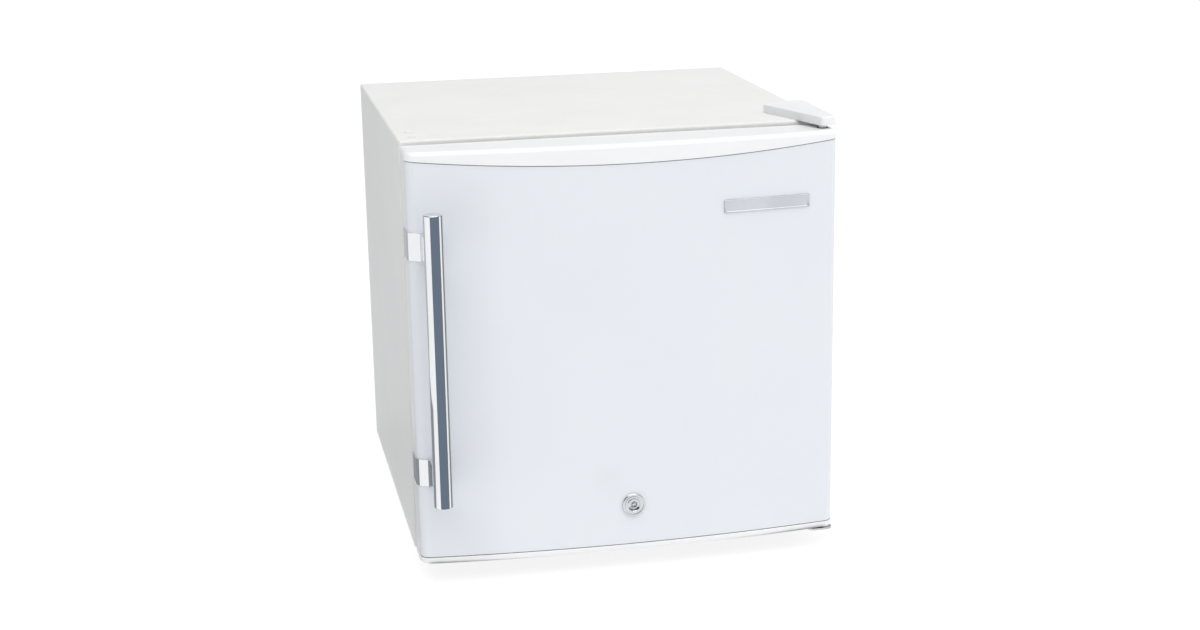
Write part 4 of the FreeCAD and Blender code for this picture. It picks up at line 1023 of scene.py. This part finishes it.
    def seal(self) -> Surface:
        """The magnetic seal: a bellows section carried round a rectangle with mitred corners.

        Returns:
            The closed surface.
        """
        low, high = lowest("door_gasket"), highest("door_gasket")
        out, deep = np.array(self.seal_section).T
        deep = low[1] + deep * (high[1] - low[1]) / self.seal_deep
        side_x, side_z = np.array([(1, 1), (-1, 1), (-1, -1), (1, -1)], float).T[:, :, None]
        centre = middle("door_gasket")
        inner = (high - low) / 2 - self.seal_width
        x = centre[0] + side_x * (inner[0] + out)
        z = centre[2] + side_z * (inner[2] + out)
        return loft(np.stack([x, np.broadcast_to(deep, x.shape), z], -1), looped=True)

    def build(self) -> None:
        """Makes the shells and dresses the inner pieces."""
        add_piece("door_panel_skin", self.panel(), "door", DOOR_ENAMEL, ["door_front_panel"])
        add_piece("door_top_cap_moulding", self.cap(True), "door", CAP_PLASTIC, ["door_top_cap"])
        add_piece("door_bottom_cap_moulding", self.cap(False), "door", CAP_PLASTIC,
                  ["door_bottom_cap"])
        # Deep grey strips in the caps' seams: painted shade for the gap's shadow.
        add_piece("door_top_seam_strip", self.painted_seam_shade(True), "door", PAINTED_SEAM_SHADE)
        add_piece("door_bottom_seam_strip", self.painted_seam_shade(False), "door", PAINTED_SEAM_SHADE)
        add_piece("door_left_trim", self.trim(-1), "door", CAP_PLASTIC, ["door_side_trims"])
        add_piece("door_right_trim", self.trim(1), "door", CAP_PLASTIC)
        add_piece("door_seal", self.seal(), "door", SEAL_RUBBER, ["door_gasket"], angle=50)
        soften({"door_liner": 1.4, "door_lower_bin": 0.7, "door_upper_bin": 0.7})


# ---- handle
@dataclass
class Handle:
    """The round bar and its two brackets."""

    edge: float = 0.9
    dish: float = 0.4
    around: int = 96

    def bar(self) -> Surface:
        """The bar: a turned profile with rounded ends and a slight dish in each end face.

        Returns:
            The closed surface.
        """
        low, high = lowest("handle_bar"), highest("handle_bar")
        radius = (high[0] - low[0]) / 2
        length = high[2] - low[2]
        upper = rounded_end(radius, length, self.edge)
        lower = rounded_end(radius, 0.0, -self.edge)[::-1]
        face = np.array([[radius * 0.6, self.dish], [radius * 0.2, self.dish]])
        top_face = np.column_stack([face[:, 0], length - face[:, 1]])
        profile = np.vstack([face[::-1], lower, upper, top_face])
        centre = (*middle("handle_bar")[:2], low[2])
        return turned(profile, centre, (0, 0, 1), self.around)

    def build(self) -> None:
        """Makes the bar and dresses the brackets."""
        add_piece("handle_bar_chrome", self.bar(), "door", CHROME, ["handle_bar"])
        soften({"handle_brackets": 0.5})


# ---- lock and badge
@dataclass
class Lock:
    """The barrel's bezel, the plug with its ring-shaped key slot, the cam and the keeper.

    The bezel's groove is pairs of a distance in from the rim and a depth.
    """

    bezel: float = 12.75
    plug: float = 6.55
    rim: float = 0.9
    rim_steps: int = 9
    dish: float = 0.5
    groove: tuple[tuple[float, float], ...] = ((1.8, 0.1), (2.0, 1.3), (2.9, 1.3), (3.1, 0.2))
    flange: float = 2.6
    shank: float = 9.5
    shank_end: float = 32.6
    neck: float = 6.0
    bore: float = 3.6
    plug_room: float = 26.0
    around: int = 72
    plug_length: float = 25.4
    spindle: float = 3.5
    nut: float = 5.5
    nut_height: float = 3.0
    key_up: float = 1.0
    key_inner: float = 1.15
    key_outer: float = 3.7
    key_depth: float = 3.0
    kidney_inner: float = 3.3
    kidney_outer: float = 6.25
    kidney_half: float = 1.15
    kidney_depth: float = 2.0
    steep: float = 0.12
    face_rings: int = 46
    face_around: int = 120
    # Painted shade in the plug's hollows: it lies between these two depths behind the face, in the
    # near-black colour below.
    painted_shade_bounds: tuple[float, float] = (0.3, 3.5)
    black: Rgb = (0.012, 0.013, 0.015)

    def barrel(self) -> Surface:
        """The bezel and barrel: a rounded rim, a slightly dished face, and a bore for the plug.

        Returns:
            The closed surface.
        """
        low, high = lowest("lock_barrel"), highest("lock_barrel")
        centre_x, _, centre_z = middle("lock_barrel")
        length = high[1] - low[1]
        turn = np.linspace(0, math.pi, self.rim_steps)
        edge = np.stack([self.bezel - self.rim + self.rim * np.sin(turn),
                         self.rim - self.rim * np.cos(turn)], -1)
        profile = np.vstack([
            [(self.bore, length), (self.neck, length), (self.neck, self.shank_end),
             (self.shank, self.shank_end), (self.shank, self.flange),
             (self.bezel - 0.3, self.flange)],
            edge[::-1], [(self.bezel - inset, deep) for inset, deep in self.groove],
            [(self.plug + 1.2, self.dish), (self.plug + 0.5, 0.15), (self.plug, 0.5),
             (self.plug, self.plug_room), (self.bore, self.plug_room)]])
        side = full_turn(self.around)
        x = centre_x + profile[:, :1] * np.cos(side)
        z = centre_z + profile[:, :1] * np.sin(side)
        y = low[1] + np.repeat(profile[:, 1:], len(side), 1)
        return loft(np.stack([x, y, z], -1), looped=True)

    def plug_surface(self) -> Surface:
        """The turning plug: a round face with sunk shapes, a wall, a spindle and its nut.

        The face is a grid of radius and angle. It sinks by the larger of two hollows: a ring for
        the key's tube, centred above the middle, and a kidney below it.

        Returns:
            The closed surface.
        """
        low, high = lowest("lock_plug"), highest("lock_plug")
        centre_x, centre_z = 0.0, middle("lock_plug")[2]
        radius = (high[0] - low[0]) / 2
        turn = full_turn(self.face_around)[None, :]
        reach = np.linspace(0.08, radius - 0.15, self.face_rings)[:, None]
        x, z = reach * np.cos(turn), reach * np.sin(turn)
        from_key = np.hypot(x, z - self.key_up)
        below = np.abs(np.arctan2(x, -z))
        ring = band(from_key, self.key_inner, self.key_outer, self.steep)
        kidney = (band(reach, self.kidney_inner, self.kidney_outer, self.steep)
                  * band(below, -1.0, self.kidney_half, 0.08))
        sunk = np.maximum(ring * self.key_depth, kidney * self.kidney_depth)
        y = low[1] + 0.15 * (reach / radius) ** 8 + sunk
        wall_end, nut = low[1] + self.plug_length, high[1] - self.nut_height
        back = np.array([(radius, low[1] + 0.3), (radius, wall_end), (self.spindle, wall_end),
                         (self.spindle, nut), (self.nut, nut), (self.nut, high[1] - 0.3),
                         (self.nut - 0.3, high[1]), (0.5, high[1])])
        x = np.vstack([x, back[:, :1] * np.cos(turn)])
        z = np.vstack([z, back[:, :1] * np.sin(turn)])
        y = np.vstack([y, np.repeat(back[:, 1:], x.shape[1], 1)])
        return loft(np.stack([x + centre_x, y, z + centre_z], -1))

    def painted_slot_shade(self) -> bpy.types.Material:
        """Chrome with painted shade in the hollows: it turns near black between two depths behind
        the plug's face.

        Returns:
            The material.
        """
        graph = Graph("finish_lock_plug")
        start, end = ((lowest("lock_plug")[1] + deep) * MM for deep in self.painted_shade_bounds)
        depth = graph.part(graph.node("ShaderNodeTexCoord", output="Object"), 1)
        # deep is the share of painted shade: 1 between the two depths, where the hollows lie in
        # shadow.
        deep = depth.ramp(start, start + 0.2 * MM) * (1.0 - depth.ramp(end, end + 0.4 * MM))
        speckle = graph.noise(graph.place(), 1.2)
        graph.dress({"Base Color": graph.blend(LOCK_CHROME.colour, self.black, deep),
                     "Roughness": 0.12 + deep * 0.4 + speckle * 0.08, "Metallic": 1.0})
        return graph.material

    def build(self) -> None:
        """Makes the barrel and the plug, and dresses the cam and keeper."""
        add_piece("lock_bezel", self.barrel(), "door", LOCK_CHROME, ["lock_barrel"])
        plug = add_piece("lock_plug_turned", self.plug_surface(), "lock", CHROME, ["lock_plug"])
        # The plug's chrome gets painted shade in its hollows.
        plug.data.materials[0] = self.painted_slot_shade()
        soften({"lock_cam": 0.3, "lock_keeper": 0.3, "lock_keeper_screws": 0.3})


@dataclass
class Badge:
    """A plain raised plate at the door's upper corner, with a bright border."""

    border: float = 1.1
    proud: float = 0.35
    thick: float = 1.6
    stuck: float = 0.02
    steps: int = 40

    def plate(self) -> Surface:
        """The plate: upright loops with a raised border follow the bowed front.

        A loop's points have a distance proud of the door and a height. The end loops aren't sunk.

        Returns:
            The closed surface.
        """
        door = Door()
        low, high = lowest("badge_plate"), highest("badge_plate")
        x = np.linspace(low[0], high[0], self.steps)
        bow = arc_radius(door.half, door.bow_rise)
        centre_y = door.front + bow
        thick = self.thick
        face, stuck, side = thick - self.proud, self.stuck, thick * 0.7
        stand = np.array([stuck, side, thick, thick, face, face, thick, thick, side, stuck])
        up = np.array([0.0, 0.0, 0.35, self.border, self.border + 0.3, 0.0, 0.0, 0.0, 0.0, 0.0])
        tall = high[2] - low[2]
        up[5:] = tall - up[:5][::-1]
        near_end = np.minimum(x - x[0], x[-1] - x)
        share = (near_end < self.border)[:, None]
        heights = np.where(share & (stand[None, :] == face), thick, stand[None, :])
        radius = bow + heights
        y = centre_y - np.sqrt(radius ** 2 - x[:, None] ** 2)
        z = np.broadcast_to(low[2] + up, y.shape)
        return loft(np.stack([np.broadcast_to(x[:, None], y.shape), y, z], -1))

    def build(self) -> None:
        """Makes the plate."""
        add_piece("badge_plate_blank", self.plate(), "door", SILVER, ["badge_plate"],
                  bevel=0.12, angle=40)


# ---- inside
@dataclass
class Interior:
    """The ice compartment, the thermostat and the tray."""

    swings: int = 9
    squareness: float = 2.4
    side_margin: float = 16.0
    end_margin: float = 14.0
    sheet: float = 1.5
    ridge_wide: float = 4.2
    ridge_tall: float = 1.1
    ridge_sink: float = 0.3
    ridge_steps: int = 260
    knob_deep: float = 18.0
    knob_flutes: int = 24
    flute_depth: float = 0.7
    around: int = 144

    def channels(self, height: float) -> Surface:
        """A refrigerant channel: x swings from side to side as tanh of a sine while y advances.

        Args:
            height: the sheet's surface, which the ridge is sunk in.

        Returns:
            The closed surface.
        """
        low, high = lowest("evaporator"), highest("evaporator")
        share = np.linspace(0, 1, self.ridge_steps)
        reach = (high[0] - low[0]) / 2 - self.side_margin
        wave = np.sin(share * self.swings * math.pi + math.pi / 2)
        swing = np.tanh(self.squareness * wave) / math.tanh(self.squareness)
        x = middle("evaporator")[0] + reach * swing
        y = low[1] + self.end_margin + share * (high[1] - low[1] - 2 * self.end_margin)
        path = np.stack([x, y, np.full_like(x, height - self.ridge_sink)], -1)
        return tube(path, self.ridge_wide, self.ridge_tall, (0, 0, 1))

    def knob(self) -> Surface:
        """The dial: a turned cap with a fluted rim, and a raised grip across it.

        Returns:
            The closed surface.
        """
        low, high = lowest("thermostat_knob"), highest("thermostat_knob")
        middle_x, _, middle_z = middle("thermostat_knob")
        radius = (high[0] - low[0]) / 2
        rear = low[1] + self.knob_deep
        profile = np.vstack([
            [(2.8, -16.5), (2.9, 0.0), (radius - 1.0, 0.0), (radius, 0.6)],
            rounded_end(radius - 0.6, 15.0, 1.4)[:-1],
            [(radius - 4.0, 14.6), (radius - 7.0, 14.4)]])
        dial = turned(profile, (middle_x, rear, middle_z), (0, -1, 0), self.around,
                      self.knob_flutes, self.flute_depth)
        share = np.linspace(-1, 1, 15)
        path = np.stack([np.full_like(share, middle_x), np.full_like(share, rear - 14.6),
                         middle_z + share * (radius - 3.5)], -1)
        return dial.joined(tube(path, 3.0, 3.3, (0, -1, 0), 16))

    def build(self) -> None:
        """Makes the channels and the knob, and dresses the rest."""
        low, high = lowest("evaporator"), highest("evaporator")
        soften({"evaporator": 0.5})
        ridges = self.channels(high[2]).joined(self.channels(low[2] + self.sheet))
        add_piece("evaporator_channels", ridges, "cabinet", ALUMINIUM, angle=60)
        soften({"evaporator_rails": 0.5, "drip_tray": 0.6, "freezer_flap": 0.8,
                "thermostat_housing": 0.8})
        add_piece("thermostat_dial", self.knob(), "knob", WHITE_MOULDING, ["thermostat_knob"])


# ---- machinery
@dataclass
class Machinery:
    """What stands behind and below: compressor, condenser, tubes and feet."""

    foot_edge: float = 1.2

    def build(self) -> None:
        """Softens the pieces whose edges show."""
        soften({"compressor_cradle": 0.4, "compressor_bolts": 0.5, "compressor_grommets": 1.0,
                "relay_cover": 0.8, "condenser_clips": 0.6, "cord_gland": 0.5,
                "left_front_foot": self.foot_edge, "right_front_foot": self.foot_edge,
                "rear_feet": self.foot_edge})


def dress_nodes() -> None:
    """Gives every node the finish of its slot."""
    for name, node in frame["nodes"].items():
        node.data.materials.clear()
        node.data.materials.append(FINISHES[SLOTS[name]].material())


# ---- studio
DIMMING_CARD = "under_card"


@dataclass
class Studio:
    """A pale floor with a painted shadow under the body, soft lights, grey and black cards for the
    metal to mirror, and the camera, in metres.
    """

    eye: Rgb = (-0.44995, -2.23804, 0.84576)
    azimuth: float = -11.72
    elevation: float = 15.14
    roll: float = -0.958
    lens: float = 59.69
    sensor: float = 36.0
    floor_size: float = 30.0
    floor_cloud: float = 60.0
    floor_glow: float = 0.89
    # The painted shadow under the body: its half size and the Y of its middle, in metres.
    painted_shadow_half: float = 0.225
    painted_shadow_middle: float = 0.045
    air: float = 0.58
    air_left: float = 0.12
    air_low: float = 0.98
    air_across: tuple[float, float] = (-0.8, 0.4)
    air_rise: tuple[float, float] = (0.04, 0.22)
    sun: float = 2.35
    sun_from: Rgb = (0.0, -0.28, 0.96)
    sun_width: float = 70.0
    cards: dict[str, tuple[list[Rgb], Rgb]] = field(init=False)

    def __post_init__(self) -> None:
        """Lists the cards: a standing one has two ends and two heights, a flat one its sides."""
        def standing(start: tuple[float, float], end: tuple[float, float],
                     low: float, high: float) -> list[Rgb]:
            """The four corners of an upright card."""
            return [(*start, low), (*end, low), (*end, high), (*start, high)]

        def flat(x0: float, x1: float, y0: float, y1: float, z: float) -> list[Rgb]:
            """The four corners of a level card."""
            return [(x0, y0, z), (x1, y0, z), (x1, y1, z), (x0, y1, z)]

        self.cards = {
            "slate_card": (standing((-0.243, -0.297), (-0.171, -0.281), 0.0, 0.44),
                           (0.17, 0.21, 0.27)),
            "side_card": (standing((-0.182, -0.247), (-0.152, -0.262), 0.0, 0.44),
                          (0.26, 0.27, 0.26)),
            "rear_card": (standing((-0.237, 0.300), (-1.200, 0.300), 0.0, 0.70),
                          (0.52, 0.54, 0.56)),
            "low_card": (flat(-0.800, -0.245, -0.200, 0.300, 0.002), (0.30, 0.32, 0.34)),
            "lock_card": (standing((-0.034, -0.262), (-0.010, -0.258), 0.079, 0.108),
                          (0.01, 0.01, 0.012)),
            # The under card is a black sheet put under the door where the floor lies in shade; it
            # dims the bottom cap's underside, a stand-in for that shade.
            DIMMING_CARD: (flat(-0.225, 0.225, -0.228, -0.120, 0.0185), (0.0, 0.0, 0.0))}

    def paper(self, name: str, corners: Sequence[Rgb], graph: Graph) -> bpy.types.Object:
        """One flat sheet of the studio.

        Args:
            name: the sheet's name.
            corners: its four corners in metres.
            graph: its material's graph.

        Returns:
            The object.
        """
        mesh = bpy.data.meshes.new(name)
        mesh.from_pydata(corners, [], [(0, 1, 2, 3)])
        mesh.materials.append(graph.material)
        return put(name, mesh)

    def floor(self) -> None:
        """The floor: one pale sheet with a fine grain that glows evenly, except for a painted shadow
        under the body where its glow fades to black.
        """
        half, painted_shade_bounds = self.floor_size / 2, self.painted_shadow_half
        graph = Graph("studio_paper")
        grain = graph.noise(graph.place(), self.floor_cloud)
        where = graph.node("ShaderNodeTexCoord", output="Object")
        across, along = (graph.node("ShaderNodeMath", {"operation": "ABSOLUTE"},
                                    {0: graph.part(where, axis) - middle})
                         for axis, middle in ((0, 0.0), (1, self.painted_shadow_middle)))
        # shade is the painted shadow: 1 under the body, where the floor's glow is faded to black.
        shade = (1.0 - across.ramp(painted_shade_bounds - 0.04, painted_shade_bounds)) * (
            1.0 - along.ramp(painted_shade_bounds - 0.05, painted_shade_bounds - 0.01))
        graph.dress({"Base Color": graph.blend((0.16, 0.16, 0.16), (0.14, 0.14, 0.14), grain),
                     "Roughness": 0.9, "Emission Strength": self.floor_glow,
                     "Emission Color": graph.blend((1.0, 1.0, 1.0), (0.0, 0.0, 0.0), shade)})
        corners = [(-half, -half, 0), (half, -half, 0), (half, half, 0), (-half, half, 0)]
        floor = self.paper("studio_floor", corners, graph)

    def card(self, name: str, corners: Sequence[Rgb], shade: Rgb) -> None:
        """A small plain card that the camera never sees, for the shiny metal to mirror.

        Args:
            name: the card's name. The dimming card also takes light from matt surfaces beside it.
            corners: its four corners in metres.
            shade: how bright it is.
        """
        graph = Graph("paper_" + name)
        graph.dress({"Base Color": (0.0, 0.0, 0.0), "Roughness": 1.0, "Specular IOR Level": 0.0,
                     "Emission Color": shade, "Emission Strength": 1.0})
        card = self.paper(name, corners, graph)
        card.visible_camera = False
        # Only the under card, a stand-in for the shade under the door, is seen by matt surfaces.
        card.visible_diffuse = name == DIMMING_CARD
        card.visible_shadow = False

    def sky(self) -> None:
        """The air: dim on the left, brighter to the right, and near white low down."""
        graph = Graph("studio_air", sky=True)
        toward = graph.node("ShaderNodeTexCoord", output="Generated")
        across = graph.part(toward, 0).ramp(*self.air_across)
        high = graph.part(toward, 2).ramp(*self.air_rise)
        above = self.air_left + across * (self.air - self.air_left)
        strength = self.air_low + (above - self.air_low) * high
        graph.dress({"Color": (0.98, 0.99, 1.0), "Strength": strength})
        bpy.context.scene.world = graph.material

    def sunshine(self) -> None:
        """One very wide soft light from above, the front and the right."""
        data = bpy.data.lights.new("soft_sun", "SUN")
        data.energy = self.sun
        data.angle = math.radians(self.sun_width)
        data.color = (1.0, 0.995, 0.985)
        lamp = put("soft_sun", data)
        lamp.rotation_mode = "QUATERNION"
        lamp.rotation_quaternion = Vector(self.sun_from).to_track_quat("Z", "Y")

    def camera(self) -> None:
        """The camera at the picture's viewing angle."""
        azimuth, elevation, roll = map(math.radians, (self.azimuth, self.elevation, self.roll))
        level = math.cos(elevation)
        back = Vector((math.sin(azimuth) * level, -math.cos(azimuth) * level, math.sin(elevation)))
        right = Vector((0, 0, 1)).cross(back).normalized()
        up = back.cross(right)
        turned_right = math.cos(roll) * right + math.sin(roll) * up
        turned_up = -math.sin(roll) * right + math.cos(roll) * up
        data = bpy.data.cameras.new("camera")
        data.lens = self.lens
        data.sensor_width = self.sensor
        camera = put("camera", data)
        matrix = Matrix((turned_right, turned_up, back)).transposed().to_4x4()
        matrix.translation = Vector(self.eye)
        camera.matrix_world = matrix
        bpy.context.scene.camera = camera

    def build(self) -> None:
        """Sets the camera, the floor and the lights."""
        self.camera()
        self.floor()
        self.sky()
        bpy.context.scene.view_settings.view_transform = "Standard"
        self.sunshine()
        for name, (corners, shade) in self.cards.items():
            self.card(name, corners, shade)


def main() -> None:
    """Builds every assembly in order."""
    dress_nodes()
    for assembly in (Studio(), Cabinet(), Hinges(), Door(), Handle(), Lock(), Badge(), Interior(),
                     Machinery()):
        assembly.build()
        log.info("built %s", type(assembly).__name__)


if __name__ == "__main__":
    main()
